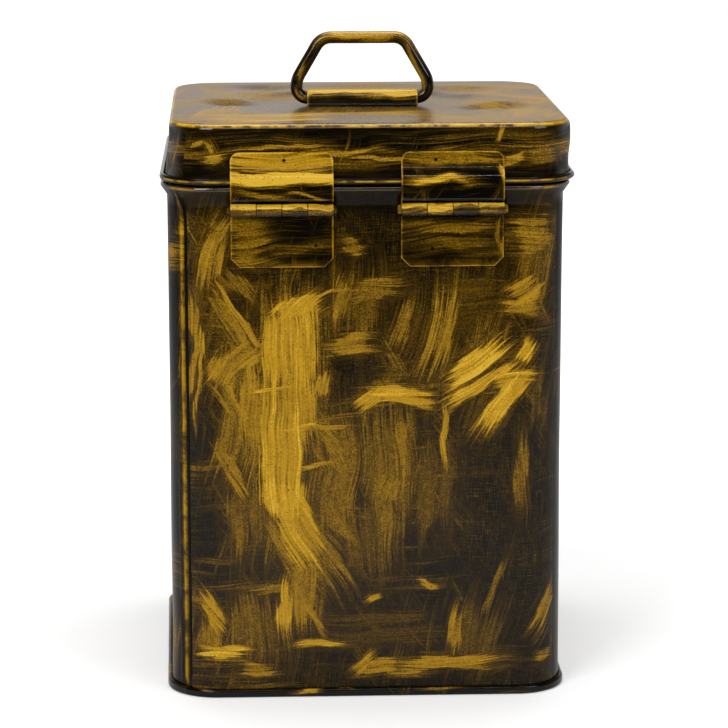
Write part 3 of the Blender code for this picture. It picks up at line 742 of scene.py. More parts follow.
def skirt_tint(g, place, paint):
    """The gold is rubbed off under the lid's edge and above its rim."""
    v = g.split(place)[1]
    under_edge = g.ramp(v, 0.2830, 0.2925, 1.10, 0.22)
    above_rim = g.ramp(v, 0.2700, 0.2765, 0.16, 1.0)
    return g.math("MULTIPLY", paint, g.math("MULTIPLY", under_edge, above_rim))


def top_tint(g, _, paint):
    """The lid's top keeps a thin film of gold all over."""
    return g.math("MAXIMUM", paint, 0.32)


# The rolled shoulder is hammered and glossy, and the flare under it dull
FLARE_V = 0.2530
ROLL_V = 0.2614
ZONE_GLOSS = {
    FLARE_V: dict(roughness=(0.12, 0.28), ior=1.21),
    ROLL_V: dict(roughness=(0.08, 0.24), ior=1.60, relief_strength=0.90),
}

# The hinge side's wall is painted in zones, each with only the strokes that reach it
ZONE_U = [-0.125, -0.045, 0.030, 0.125]
ZONE_V = [-0.010, 0.070, 0.145, 0.220, FLARE_V, ROLL_V, 0.280]


def strokes_in(strokes, low, high, margin=0.004):
    """The strokes that reach into a zone of the sheet, ragged ends and sides included."""
    found = []
    for laid in strokes:
        u, v, turn, length, width, bend, _ = in_metres(laid)
        along = 2.3 * length
        across = 2.4 * width + abs(bend) * along * along
        reach_u = abs(cos(turn)) * along + abs(sin(turn)) * across + margin
        reach_v = abs(sin(turn)) * along + abs(cos(turn)) * across + margin
        if low[0] - reach_u < u < high[0] + reach_u and low[1] - reach_v < v < high[1] + reach_v:
            found.append(laid)
    return found


def zone_of(u, v):
    column = sum(u > limit for limit in ZONE_U[1:-1])
    row = sum(v > limit for limit in ZONE_V[1:-1])
    return row * (len(ZONE_U) - 1) + column


inside = dark_lacquer("inside_lacquer")
body_front = []
for row in range(len(ZONE_V) - 1):
    for column in range(len(ZONE_U) - 1):
        low = (ZONE_U[column], ZONE_V[row])
        high = (ZONE_U[column + 1], ZONE_V[row + 1])
        body_front.append(brushed_paint(
            f"body_brushed_{row}_{column}", strokes_in(BODY_STROKES, low, high),
            haze=(0.40, 0.35, 0.31), tint=body_tint, film=0.30, rubs_and_shade=strokes_in(BODY_RUBS, low, high),
            **ZONE_GLOSS.get(ZONE_V[row], {})))
body_sides = brushed_paint(
    "body_sides_brushed", scattered_strokes(54, (125, 15), (640, 250), 11),
    haze=(0.42, 0.46, 0.42), tint=body_tint, ior=1.22,
    rubs_and_shade=[(654, 195, 90, 90, 11.5, 0, 0.95), (654, 60, 90, 90, 11.5, 0, 0.95),
          (635, 150, 84, 60, 14, 2, 0.35),
          (103, 195, 90, 90, 7, 0, 0.75), (103, 60, 90, 90, 7, 0, 0.75),
          (115, 170, 86, 50, 12, 3, 0.35), (114, 50, 95, 40, 11, -3, 0.35)])
skirt_paint = brushed_paint(
    "lid_skirt_brushed",
    [(-85, 285.6, 4, 5.2, 1.8, -40, 0.62), (-79.2, 283.2, -64, 5, 1.8, 0, 0.60),
     (-76.8, 277.6, 8, 7, 3, 0, 0.72), (-45, 283.5, 2, 26, 1.3, 0, 0.80),
     (-23, 279, 4, 30, 1.2, 0, 0.60), (10, 276.8, -2, 30, 1.1, 0, 0.62),
     (72, 276.2, 12, 8, 3, 0, 0.70), (86, 277.5, 2, 12, 5, 0, 0.42),
     (64, 288.5, 82, 4, 1, 0, 0.60)]
    + scattered_strokes(26, (110, 270), (650, 290), 5, 0.7),
    haze=(0.50, 0.10, 0.08), tint=skirt_tint, seed=1.0, ior=1.42, roughness=(0.12, 0.32))
bead_paint = brushed_paint(
    "lid_bead_brushed", haze=(0.25, 0.0, 0.0), seed=4.0, ior=1.30, roughness=(0.10, 0.28), veil=0.25)
# In front of the handle, the stroke at (0, -48) is partly gold and partly painted reflection, brightening
# where the handle shades the dish; the rubbed places over the dents at (-62, -4), (72, -28) and (-45, 64)
# are painted shade in the dents.
top_paint = brushed_paint(
    "lid_top_brushed",
    [(-52, -74, 4, 44, 18, 2, 0.84), (45, -82, -3, 50, 8, -2, 0.52),
     (-60, 40, 60, 40, 16, 4, 0.60), (60, -4, 8, 22, 5, -4, 0.55),
     (-74, -50, 80, 36, 14, 0, 0.66), (0, -48, 4, 46, 14, 8, 0.74),
     (80, 40, 80, 40, 12, 0, 0.42), (0, 75, 2, 60, 14, 0, 0.42)],
    haze=(0.66, 0.66, 0.62), patch=14.0, seed=2.0, roughness=(0.25, 0.36), ior=1.46, veil=0.70,
    relief_strength=0.08, line_gain=0.45, tint=top_tint,
    rubs_and_shade=[(-62, -4, 10, 22, 10, 0, 0.45), (72, -28, 4, 26, 9, 0, 0.45),
          (-35, -30, 60, 26, 7, 6, 0.35), (45, 40, 120, 30, 10, 0, 0.5),
          (-45, 64, 6, 24, 10, 0, 0.6)])

# The body

# Distances from the seam's line where the fold and the groove beside it start, are
# full, start to end and end, and how far they stand out and sink in
SEAM_FOLD = (-0.0058, -0.0048, -0.0004, 0.0)
SEAM_FOLD_HEIGHT = 0.0008
SEAM_GROOVE = (0.0, 0.0005, 0.0016, 0.0024)
SEAM_GROOVE_DEPTH = 0.0005
SEAM_STEPS = [
    -0.0062, -0.0058, -0.0053, -0.0048, -0.0030, -0.0012, -0.0004, -0.0002, 0.0,
    0.0002, 0.0005, 0.0010, 0.0016, 0.0020, 0.0024, 0.0030]
# Heights between which the wall's panels are slightly uneven and its flare crumpled
PANEL_HEIGHTS = (0.006, 0.030, 0.235, 0.255)
FLARE_HEIGHTS = (0.2535, 0.2585, 0.2606, 0.2618)
PANEL_WAVE = 0.00030
FLARE_CRUMPLE = 0.0005
SHOULDER_ROLL_END = radians(205)
SHOULDER_GOLD_V = 0.2595
SIDES_START_U = 0.0975


def from_seam(u):
    """Signed distance round the plan from the lock seam."""
    return (u - SEAM_U + PERIMETER / 2) % PERIMETER - PERIMETER / 2


def seam_profile(d):
    """The lock seam across: a raised fold with a steep edge and a groove beside it."""
    return SEAM_FOLD_HEIGHT * plateau(SEAM_FOLD, d) - SEAM_GROOVE_DEPTH * plateau(SEAM_GROOVE, d)


def near_corner(u, reach=0.030):
    """1 at the hinge side's two corners, falling to 0 along the sheet."""
    corner = STRAIGHT / 2 + QUARTER / 2
    return bump(from_seam(u) + SEAM_U, -corner, reach), bump(u, corner, reach)


def body_move(u, out, z):
    """A point of the wall, with the seam, uneven panels and the crumpled flare."""
    d = from_seam(u)
    seam_shift = 0.0030 * smooth(0.2500, 0.2570, z) * bump(d, 0.0, 0.012)
    extra = 0.0
    if z > RING_HEIGHT + 0.001:
        extra += seam_profile(d) * (1 - smooth(0.2560, 0.2590, z))
    base, _ = plan_at(u)
    wave = noise.noise(Vector((base.x * 16, base.y * 16, z * 13 + 4.0)))
    under_hinges = bump(u, 0.0, 0.090) * smooth(0.205, 0.220, z)
    evenness = 1 - 0.8 * under_hinges
    extra += plateau(PANEL_HEIGHTS, z) * PANEL_WAVE * (wave - 0.5) * evenness
    left, right = near_corner(u)
    crinkle = noise.noise(Vector((u * 260, z * 120, 2.0))) * 0.7 + 0.5 * sin(u * 900 + z * 600)
    share = 0.8 * left + 0.5 * right + 0.12
    extra += plateau(FLARE_HEIGHTS, z) * share * FLARE_CRUMPLE * crinkle
    return plan_point(u - seam_shift, out + extra, z)


def body_wear_and_light(u, v):
    """Gold on the fold's crest, partly real gold on the edge and partly a painted highlight on its lit
    edge; broken gold along the shoulder's roll, strongest at the corners, partly gold and partly a
    painted highlight for the roll's glints; and the seam's groove painted black as painted shade.
    """
    d = from_seam(u)
    if v > SHOULDER_GOLD_V:
        near = near_corner(u, 0.020)
        return (0.15 + 0.55 * max(near)) * bump(v, SHOULDER[1], 0.0009)
    if -0.0050 < d < -0.0002:
        return 0.80 * bump(d, -0.0010, 0.0014)
    return -1.0 if 0.0001 < d < 0.0022 else 0.0


def wall_section():
    """The wall from its turned-out foot up to the rolled shoulder."""
    middle = -SHEET / 2
    foot = BASE_SHEET + FIT_GAP + SHEET / 2
    flange_end = RING_PROUD - BASE_SHEET - FIT_GAP
    start = (middle, SHOULDER[1] - SHOULDER_FLARE)
    section = rounded_path([(flange_end, foot, 0.0), (middle, foot, SHEET), (middle, RING_HEIGHT, 0.0)])
    section += roll_up(start, SHOULDER, SHOULDER_RADIUS - SHEET / 2, SHOULDER_ROLL_END)
    return subdivide(section, 0.0055)


def build_body():
    seam_stations = [d % PERIMETER + SEAM_U for d in SEAM_STEPS]
    stations = ring_stations(0.0035, radians(4.5), seam_stations)
    section = wall_section()
    materials = []
    for paint in body_front + [body_sides]:
        materials += [paint, inside]
    piece = band(
        "body_sheet", stations, section, [z for _, z in section], body_move, materials, wear_and_light=body_wear_and_light)
    slots = []
    for (_, low), (_, high) in zip(section, section[1:]):
        v = (low + high) / 2
        for u in stations:
            zone = zone_of(u, v) if u < SIDES_START_U or v > ROLL_V else len(body_front)
            slots.append(2 * zone)
    piece.data.polygons.foreach_set("material_index", slots)
    solidify(piece, SHEET, 1)
    return piece


body = build_body()
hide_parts("body_shell")
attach(body, "tin_body")

# The base

BASE_FLOOR_EDGE = 0.0120
RING_RIPPLE = 0.00022

base_paint = brushed_paint(
    "base_brushed",
    [(-30, 4, 0, 7, 1, 0, 0.80), (-12, 5, 0, 4, 0.8, 0, 0.70), (35, 5, 0, 12, 0.7, 0, 0.50),
     (-86, 5, 0, 6, 0.8, 0, 0.50)]
    + scattered_strokes(12, (110, 1), (650, 8), 3, 0.5),
    haze=(0.12, 0.0, 0.0), seed=3.0, roughness=(0.12, 0.30), ior=1.36, veil=0.25)


def base_move(u, out, z):
    """A point of the base, with a ripple along the ring's upper edge."""
    ripple = noise.noise(Vector((u * 60, 0.0, 5.0)))
    lift = max(0.0, out) / RING_PROUD * RING_RIPPLE * ripple if z > 0.002 else 0.0
    return plan_point(u, out, z + lift)


def build_base():
    half = BASE_SHEET / 2
    channel_in = -(SHEET + FIT_GAP + half)
    channel_out = RING_PROUD - half
    floor_z = BASE_RECESS + half
    section = rounded_path([
        (FIT_GAP, RING_HEIGHT - half, 0.0),
        (channel_out, RING_HEIGHT - half, RING_BEND),
        (channel_out, half, RING_BEND),
        (channel_in, half, RING_BEND),
        (channel_in, floor_z, RING_BEND),
        (channel_in - BASE_FLOOR_EDGE, floor_z, 0.0),
    ], step=radians(22))
    heights = [RING_HEIGHT + 0.002 - s for s in path_lengths(section)]
    piece = band(
        "base_sheet", ring_stations(0.0080, radians(5)), section, heights, base_move,
        [base_paint, inside], flip=True, capped=True)
    solidify(piece, BASE_SHEET, 1)
    return piece


base = build_base()
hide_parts("base_pan")
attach(base, "tin_body")

# The lid

# Centre, half sizes and height of each dent (negative) or bulge in the lid's top
LID_DENTS = [
    (-0.069, -0.002, 0.019, 0.018, -0.0026),
    (0.070, -0.022, 0.025, 0.019, -0.0028),
    (-0.049, 0.066, 0.026, 0.022, -0.0016),
    (0.058, 0.055, 0.028, 0.022, -0.0016),
    (0.004, 0.083, 0.052, 0.022, 0.0010),
    (-0.020, -0.062, 0.032, 0.018, 0.0006),
    (0.035, -0.066, 0.030, 0.016, -0.0006),
]
DISH_REACH = (0.052, 0.046)
SKIRT_HEIGHTS = (0.272, 0.278, 0.288, 0.2935)
SKIRT_WAVE = 0.0004
TOP_WAVE = 0.00035
TOP_EDGE = -0.0120
TOP_RINGS = 26
EDGE_LINE = 0.0012
# Pairs of material slots: the outer face's, then the inner face's
SKIRT_SLOT, TOP_SLOT, BEAD_SLOT = 0, 2, 4


def skirt_out(z):
    """How far the lid's skirt stands out from the plan at a height."""
    share = (LID_TOP - z) / (LID_TOP - LID_BOTTOM)
    return LID_OVERHANG - LID_DRAFT * (1 - share)


def lean(y, z):
    """The hand-fitted lid sits a little to the right, most at its hinge side."""
    near = 0.5 - y / (2 * HALF)
    upper = smooth(0.2735, 0.2850, z)
    return 0.0010 + 0.0002 * smooth(0.266, 0.272, z) + upper * (0.0002 + 0.0010 * near)


def lid_relief(x, y):
    """Height of the lid's top above flat: the dish for the handle, dents and waves."""
    dx = abs(x - HANDLE[0]) / DISH_REACH[0]
    dy = abs(y - HANDLE[1]) / DISH_REACH[1]
    depth = -DISH_DEPTH * (1 - smooth(1.0, 1.34, (dx ** 3 + dy ** 3) ** (1 / 3)))
    inner = smooth(0.004, 0.018, min(HALF - abs(x), HALF - abs(y)))
    wave = TOP_WAVE * noise.noise(Vector((x * 22, y * 22, 1.0)))
    dents = 0.0
    for cx, cy, rx, ry, height in LID_DENTS:
        dents += height * (1 - smooth(0.0, 1.0, sqrt(((x - cx) / rx) ** 2 + ((y - cy) / ry) ** 2)))
    return depth + inner * (wave + dents)


def lid_move(u, out, z):
    """A point of the lid's skirt and edge, slightly uneven away from the hinges."""
    point = plan_point(u, out, z)
    base, normal = plan_at(u)
    away = 1 - bump(u, 0.0, 0.085)
    wave = noise.noise(Vector((base.x * 20, base.y * 20, z * 40)))
    push = plateau(SKIRT_HEIGHTS, z) * away * SKIRT_WAVE * wave
    point.x += normal.x * push + lean(point.y, z)
    point.y += normal.y * push
    if z > LID_TOP - SHEET:
        point.z += lid_relief(point.x, point.y) * smooth(-0.001, -0.004, out)
    return point


def lid_section():
    """The lid's edge from its rolled bead up to the top's margin, and the roll's rows."""
    half = SHEET / 2
    flare_z = LID_BEAD[1] + LID_FLARE
    flare_start = (skirt_out(flare_z) - half, flare_z)
    upper = rounded_path([
        (TOP_EDGE, LID_TOP - half, 0.0),
        (skirt_out(LID_TOP) - half, LID_TOP - half, LID_EDGE_BEND),
        (*flare_start, 0.0),
    ], step=radians(10))
    lower = roll_up(flare_start, LID_BEAD, LID_BEAD_RADIUS - half, LID_ROLL_END, radians(12))
    return subdivide(list(reversed(upper[:-1] + lower)), 0.0040), len(lower) - 2


def build_lid():
    section, roll_rows = lid_section()
    stations = ring_stations(0.0045, radians(4.5))
    count = len(stations)
    top_z = LID_TOP - SHEET / 2
    verts = [lid_move(u, out, z) for out, z in section for u in stations]
    centre = Vector(HANDLE[:2])
    for k in range(1, TOP_RINGS):
        share = 1 - k / TOP_RINGS
        for u in stations:
            edge = plan_point(u, TOP_EDGE, top_z)
            x = centre.x + (edge.x + lean(edge.y, top_z) - centre.x) * share
            y = centre.y + (edge.y - centre.y) * share
            verts.append(Vector((x, y, top_z + lid_relief(x, y))))
    top_row = next(i for i, (_, z) in enumerate(section) if z > LID_TOP - EDGE_LINE)
    lengths = path_lengths(section)

    def wear_and_light(row):
        """Bright gold along the lid's upper edge and along its bead, partly real gold on the edges and
        partly a painted highlight.
        """
        line = bump(section[row][1], LID_TOP - EDGE_LINE, 0.0013) if row > top_row - 8 else 0.0
        return max(line, 0.95 * bump(lengths[row], BEAD_LINE, 0.0006))

    faces, places, slots = [], [], []
    rows = len(section) + TOP_RINGS - 1
    for row in range(rows - 1):
        for i in range(count):
            j = (i + 1) % count
            quad = [row * count + i, row * count + j, (row + 1) * count + j, (row + 1) * count + i]
            if row < top_row:
                u0 = stations[i]
                u1 = stations[j] if j else stations[0] + PERIMETER
                corners = [(u0, row), (u1, row), (u1, row + 1), (u0, row + 1)]
                place = [(u, section[r][1], wear_and_light(r)) for u, r in corners]
                slots.append(BEAD_SLOT if row < roll_rows else SKIRT_SLOT)
            else:
                # Bright gold along the top's margin at the edge, partly real gold and partly a painted
                # highlight.
                place = [(verts[v].x, verts[v].y, 1 - smooth(top_row, top_row + 1.2, v // count))
                         for v in quad]
                slots.append(TOP_SLOT)
            faces.append(quad)
            places.append(place)
    ring = list(range((rows - 1) * count, rows * count))
    faces.append(ring)
    places.append([(verts[i].x, verts[i].y, 0.0) for i in ring])
    slots.append(TOP_SLOT)
    materials = [skirt_paint, inside, top_paint, inside, bead_paint, bead_paint]
    piece = make_object("lid_sheet", verts, faces, places, materials, slots)
    solidify(piece, SHEET, 1)
    return piece


lid = build_lid()
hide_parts("lid_shell")
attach(lid, "lid")

# The hinges

KNUCKLE_BOUNDS = [-0.0256, -0.0128, 0.0, 0.0128, 0.0256]
KNUCKLE_GAP = 0.0004
SUB_COLUMNS = 8
WRAP = radians(300)
CURL = KNUCKLE_RADIUS - HINGE_SHEET / 2
AXIS_OUT = FIT_GAP + KNUCKLE_RADIUS
LEAF_CORNER = 0.0045
LEAF_EDGE_GOLD = 0.0009
LEAF_WOBBLE = 0.00012
LEAF_EDGE_BEVEL = 0.00016
BODY_LEAF_DROP = 0.0292
BODY_LEAF_CHAMFER = [(0.0, 0.0045), (0.0006, 0.0039), (0.0045, 0.0)]
BULGE_TOP = 0.2686
BULGE_SHELF = 0.2569
BULGE_OUT = LID_BEAD[0] + LID_BEAD_RADIUS + 0.0004
BULGE_FOOT = BULGE_TOP + 0.0045
LID_LEAF_END = BULGE_FOOT + 0.0077
# How far round its knuckle each leaf faces the light most
BARREL_TURN = {"lid": radians(224), "body": radians(136)}


def leaf_columns(first_tab):
    """Column places along the hinge, cell by cell, finer at the outer edges."""
    bounds = [KNUCKLE_BOUNDS[0]]
    for index in (1, 2, 3):
        own_left = (index - 1) % 2 == first_tab
        bounds.append(KNUCKLE_BOUNDS[index] + (-KNUCKLE_GAP / 2 if own_left else KNUCKLE_GAP / 2))
    bounds.append(KNUCKLE_BOUNDS[4])
    columns = []
    for cell in range(4):
        a, b = bounds[cell], bounds[cell + 1]
        shares = [i / SUB_COLUMNS for i in range(SUB_COLUMNS)]
        if cell == 0:
            shares = [0.0, 0.045, 0.09] + shares[1:]
        if cell == 3:
            shares = shares + [0.91, 0.955]
        columns += [(a + (b - a) * t, cell) for t in shares]
    columns.append((bounds[4], 3))
    return columns


def build_leaf(name, path, plate_rows, insets, first_tab, centre_x, material, seed):
    """A hinge leaf: its plate, and the knuckles in every second cell from first_tab."""
    columns = leaf_columns(first_tab)
    lengths = path_lengths(path)
    width = HINGE_WIDTH / 2
    made = {}
    verts, faces, places = [], [], []

    def across(row, col):
        inset = insets[row] if row < len(insets) else 0.0
        return columns[col][0] * (width - inset) / width, inset

    def vert(row, col):
        if (row, col) not in made:
            out, z = path[row]
            x, _ = across(row, col)
            wobble = LEAF_WOBBLE * noise.noise(Vector((x * 90, z * 90, seed)))
            plate = 1 - smooth(plate_rows - 2, plate_rows, row)
            made[row, col] = len(verts)
            verts.append(Vector((centre_x + x, -(HALF + out + max(0.0, wobble) * plate), z)))
        return made[row, col]

    def place(row, col):
        x, inset = across(row, col)
        side = width - inset - abs(x)
        # Bright gold along the leaf's edges and free end, partly real gold and partly a painted
        # highlight.
        edge = max(1 - smooth(0.0, LEAF_EDGE_GOLD, side), 1 - smooth(0.0, LEAF_EDGE_GOLD, lengths[row]))
        return (x, lengths[row], 0.9 * edge if row < plate_rows else 0.0)

    for row in range(len(path) - 1):
        for col in range(len(columns) - 1):
            if row >= plate_rows - 1 and columns[col][1] % 2 != first_tab:
                continue
            corners = [(row, col), (row, col + 1), (row + 1, col + 1), (row + 1, col)]
            faces.append([vert(r, c) for r, c in corners])
            places.append([place(r, c) for r, c in corners])
    return make_object(name, verts, faces, places, [material])


def body_leaf_path():
    """The body leaf from its free end up, with its chamfered corners, and its knuckle."""
    out = FIT_GAP + HINGE_SHEET / 2
    free_end = HINGE_Z - BODY_LEAF_DROP
    path = [(out, free_end + d) for d, _ in BODY_LEAF_CHAMFER]
    insets = [inset for _, inset in BODY_LEAF_CHAMFER]
    notch = HINGE_Z - KNUCKLE_RADIUS - FIT_GAP
    path += subdivide([path[-1], (out, notch)], 0.0035)[1:]
    plate_rows = len(path)
    path += arc((AXIS_OUT, HINGE_Z), CURL, pi, pi - WRAP, radians(14))
    return path, plate_rows, insets


def lid_leaf_path():
    """The lid leaf from its free end down, over the bulge and the shelf, and its knuckle."""
    half = HINGE_SHEET / 2
    wall_out = FIT_GAP + half
    turns = [pi / 2 * i / 6 for i in range(7)]
    drops = [LEAF_CORNER * (1 - cos(turn)) for turn in turns]
    insets = [LEAF_CORNER * (1 - sin(turn)) for turn in turns]
    path = [(skirt_out(LID_LEAF_END - d) + FIT_GAP + half, LID_LEAF_END - d) for d in drops]
    bends = rounded_path([
        (*path[-1], 0.0),
        (skirt_out(BULGE_FOOT) + FIT_GAP + half, BULGE_FOOT, 0.0030),
        (BULGE_OUT + half, BULGE_TOP, 0.0034),
        (BULGE_OUT + half, BULGE_SHELF, 0.0012),
        (wall_out, BULGE_SHELF, 0.0010),
        (wall_out, HINGE_Z + 0.0030, 0.0),
    ], step=radians(8))
    path += subdivide([path[-1]] + bends[1:-1], 0.0020)[1:]
    path.append((wall_out, HINGE_Z + KNUCKLE_RADIUS + FIT_GAP))
    plate_rows = len(path)
    path += arc((AXIS_OUT, HINGE_Z), CURL, pi, pi + WRAP, radians(14))
    return path, plate_rows, insets


# What differs between the leaves' paints; the dots are the punch marks of their fixings
LEAF_PAINTS = {
    # On the left lid leaf, the brightest stroke, at v 12.5 across the bulge's upward slope, is partly
    # gold and partly a painted highlight where the slope faces the light.
    ("left", "lid"): dict(
        strokes=[(0, 4, 2, 40, 7, 0, 0.74), (-4, 12.5, 0, 40, 3.4, 0, 1.25),
                 (-12, 20, 8, 18, 1.6, 6, 0.50), (10, 22.5, 12, 16, 1, 8, 0.55)],
        haze=(0.35, 0.05, 0.05), dots=[(1.1, 4, 1.1, 0.9)], seed=11.0),
    ("right", "lid"): dict(
        strokes=[(0, 3.5, 2, 34, 4.5, 0, 0.46), (-6, 14.8, 3, 18, 2, 0, 0.95),
                 (24, 13, 70, 6, 1.8, 0, 0.70)],
        rubs_and_shade=[(0, 14.5, 0, 60, 5, 0, 0.65)],
        haze=(0.18, 0.05, 0.05), dots=[(-8.5, 4, 1.1, 0.9)], seed=12.0),
    ("left", "body"): dict(
        strokes=[(-17, 14, 2, 13, 15, 0, 0.42), (6, 10, 3, 24, 3, 0, 0.30)],
        haze=(0.40, 0.15, 0.1), dots=[(16.8, 11, 1, 0.9)], seed=13.0),
    ("right", "body"): dict(
        strokes=[(0, 20, 1, 30, 4, 0, 0.42), (4, 12, 3, 26, 4, 0, 0.34),
                 (23.5, 15, 88, 12, 1.6, 0, 0.45)],
        haze=(0.34, 0.12, 0.08), dots=[(3, 16.2, 0.9, 0.9), (-10, 9.2, 1.1, 0.9)], seed=14.0),
}
pin_paint = brushed_paint("pin_brushed", haze=(0.75, 0.3, 0.2), patch=60.0, attribute=False, seed=15.0)
for side, centre_x in HINGE_X.items():
    for part, path_of, first_tab, body_name in (
            ("lid", lid_leaf_path, 0, "lid"), ("body", body_leaf_path, 1, "tin_body")):
        path, plate_rows, insets = path_of()
        look = LEAF_PAINTS[side, part]
        # A painted highlight: bright gold strokes along each knuckle where it faces the light most.
        knuckle_highlight_v = (path_lengths(path)[plate_rows] + CURL * BARREL_TURN[part]) / MM
        look = dict(look, strokes=look["strokes"] + [
            (-4, knuckle_highlight_v, 1, 60, 1.9, 0, 1.05), (0, knuckle_highlight_v, 3, 40, 4, 0, 0.45)])
        paint = brushed_paint(
            f"{side}_{part}_leaf_brushed", patch=45.0, ior=1.38, roughness=(0.10, 0.26), veil=0.36,
            **look)
        leaf = build_leaf(
            f"{side}_{part}_leaf_plate", path, plate_rows, insets, first_tab, centre_x, paint,
            look["seed"])
        solidify(leaf, HINGE_SHEET)
        soften(leaf, LEAF_EDGE_BEVEL)
        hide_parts(f"{side}_hinge_{part}_leaf")
        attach(leaf, body_name)
    refinish(f"{side}_hinge_pin", pin_paint)

# The handle

SADDLE_SHEET = 0.0009
SADDLE_LENGTH = 0.0580
SADDLE_FLANGE = 0.0035
SADDLE_BEND = 0.0010
SADDLE_COLUMNS = 40
SADDLE_EDGE_GOLD = 0.0012
SADDLE_DENT = 0.00010
SADDLE_EDGE_BEVEL = 0.00018
# The right half of the handle's outline from its axis up: across, height, bend
BAIL_CORNERS = [(0.0340, 0.0, 0.0058), (0.0347, 0.0092, 0.0115), (0.0215, 0.0317, 0.0087)]

# The bright stroke over the crown's front and top is partly gold and partly a painted highlight where the
# strap faces up to the light, and the rubbed band over its front leg and flange is painted shade on its
# lower half.
saddle_paint = brushed_paint(
    "saddle_brushed",
    [(-3, 11.8, 0, 50, 3.6, 0, 1.40), (0, 22.5, 0, 36, 5, 0, 0.7)],
    rubs_and_shade=[(0, 4.8, 0, 60, 3, 0, 1.0)],
    haze=(0.05, 0.02, 0.02), patch=60.0, seed=21.0, ior=1.42, roughness=(0.12, 0.30), veil=0.25)
bail_paint = brushed_paint(
    "bail_brushed",
    [(61, 17.8, 0, 26, 3, 0, 0.80), (20, 12.2, 2, 18, 1.6, 0, 0.66), (52, 15, 0, 12, 2, 0, 0.62),
     (100, 15, 3, 6, 1.4, 0, 0.60), (112, 16.5, 0, 5, 1.2, 0, 0.55)],
    haze=(0.12, 0.0, 0.0), patch=70.0, seed=22.0, ior=1.42, roughness=(0.12, 0.30), veil=0.22)


def build_saddle():
    """The strap over the handle's lower run, with a flange on each side of it."""
    half = SADDLE_SHEET / 2
    radius = ROD_RADIUS + FIT_GAP + half
    flange_z = LID_TOP - DISH_DEPTH + FIT_GAP + half
    crown = arc((0.0, HANDLE[2]), radius, 0.0, pi, radians(9))
    foot = rounded_path([
        crown[0] + (0.0,), (radius, flange_z, SADDLE_BEND), (radius + SADDLE_FLANGE, flange_z, 0.0)])
    mirrored = [(-y, z) for y, z in foot]
    path = list(reversed(mirrored)) + list(reversed(crown))[1:-1] + foot
    lengths = path_lengths(path)
    across = [(c / SADDLE_COLUMNS - 0.5) * SADDLE_LENGTH for c in range(SADDLE_COLUMNS + 1)]
    verts, faces, places = [], [], []
    for (y, z), s in zip(path, lengths):
        for x in across:
            dent = SADDLE_DENT * noise.noise(Vector((x * 120, s * 200, 7.0)))
            lift = max(0.0, dent) * (z > flange_z + 0.001)
            verts.append(Vector((HANDLE[0] + x, HANDLE[1] + y, z + lift)))
    for row in range(len(path) - 1):
        for c in range(SADDLE_COLUMNS):
            a = row * (SADDLE_COLUMNS + 1) + c
            faces.append([a, a + 1, a + SADDLE_COLUMNS + 2, a + SADDLE_COLUMNS + 1])
            place = []
            for r, k in ((row, c), (row, c + 1), (row + 1, c + 1), (row + 1, c)):
                # Gold at the strap's two ends, partly real gold on the edges and partly a painted
                # highlight.
                worn_and_lit = 1 - smooth(0.0, SADDLE_EDGE_GOLD, SADDLE_LENGTH / 2 - abs(across[k]))
                place.append((across[k], lengths[r], 0.5 * worn_and_lit))
            places.append(place)
    piece = make_object("saddle_strap", verts, faces, places, [saddle_paint])
    solidify(piece, SADDLE_SHEET)
    soften(piece, SADDLE_EDGE_BEVEL)
    return piece


def build_bail():
    """The handle: a closed loop of rod, slightly uneven in thickness."""
    corners = BAIL_CORNERS + [(-x, z, bend) for x, z, bend in reversed(BAIL_CORNERS)]
    loop = rounded_path(corners, closed=True, step=radians(7))
    outline = subdivide(loop + loop[:1], 0.0025)[:-1]
    points = [Vector((HANDLE[0] + x, HANDLE[1], HANDLE[2] + z)) for x, z in outline]

    def radius(point, angle):
        return ROD_RADIUS * (1 + 0.02 * noise.noise(point * 160 + Vector((0, angle, 0))))

    return tube("bail_rod", points, radius, 28, [bail_paint])


saddle = build_saddle()
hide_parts("handle_saddle")
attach(saddle, "lid")

bail = build_bail()
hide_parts("handle_bail")
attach(bail, "handle")

# Pieces kept from the solids, with finished materials

steel = drawn_steel("drawn_wire")
refinish("body_rim_wire", steel)
refinish("lid_rim_wire", steel)
refinish("mouth_collar", dark_lacquer("collar_lacquer_finish", (0.040, 0.032, 0.024), 0.28))

# The stage, lights and camera

WHITE = (1.0, 1.0, 1.0, 1.0)
FLOOR_COLOUR = (0.80, 0.80, 0.80, 1.0)
FLOOR_CORNERS = [(-3, -0.75, 0), (3, -0.75, 0), (3, 4, 0), (-3, 4, 0)]
FLOOR_DROP = 0.0002
# Each lamp's name, place, aim, size and power
LAMPS = [
    ("key", (-0.75, -1.25, 1.10), (0.0, 0.0, 0.15), (0.7, 0.7), 12.6),
    ("fill", (1.00, -1.10, 0.90), (0.0, 0.0, 0.15), (0.7, 0.7), 6.4),
    ("overhead", (0.0, 0.25, 1.35), (0.0, 0.0, 0.2), (0.9, 0.6), 9.4),
    ("strip", (0.05, -1.15, 1.30), (0.0, 0.0, 0.2), (1.3, 0.10), 5.0),
]
# The fitted camera: focal length in the photograph's pixels, place, yaw, pitch and roll
FOCAL_PIXELS = 3092.6
PHOTO_PIXELS = 728
SENSOR = 36.0
CAMERA_PLACE = (-0.0597, -1.6245, 0.4749)
CAMERA_TURNS = (0.0380, 0.1952, -0.0017)


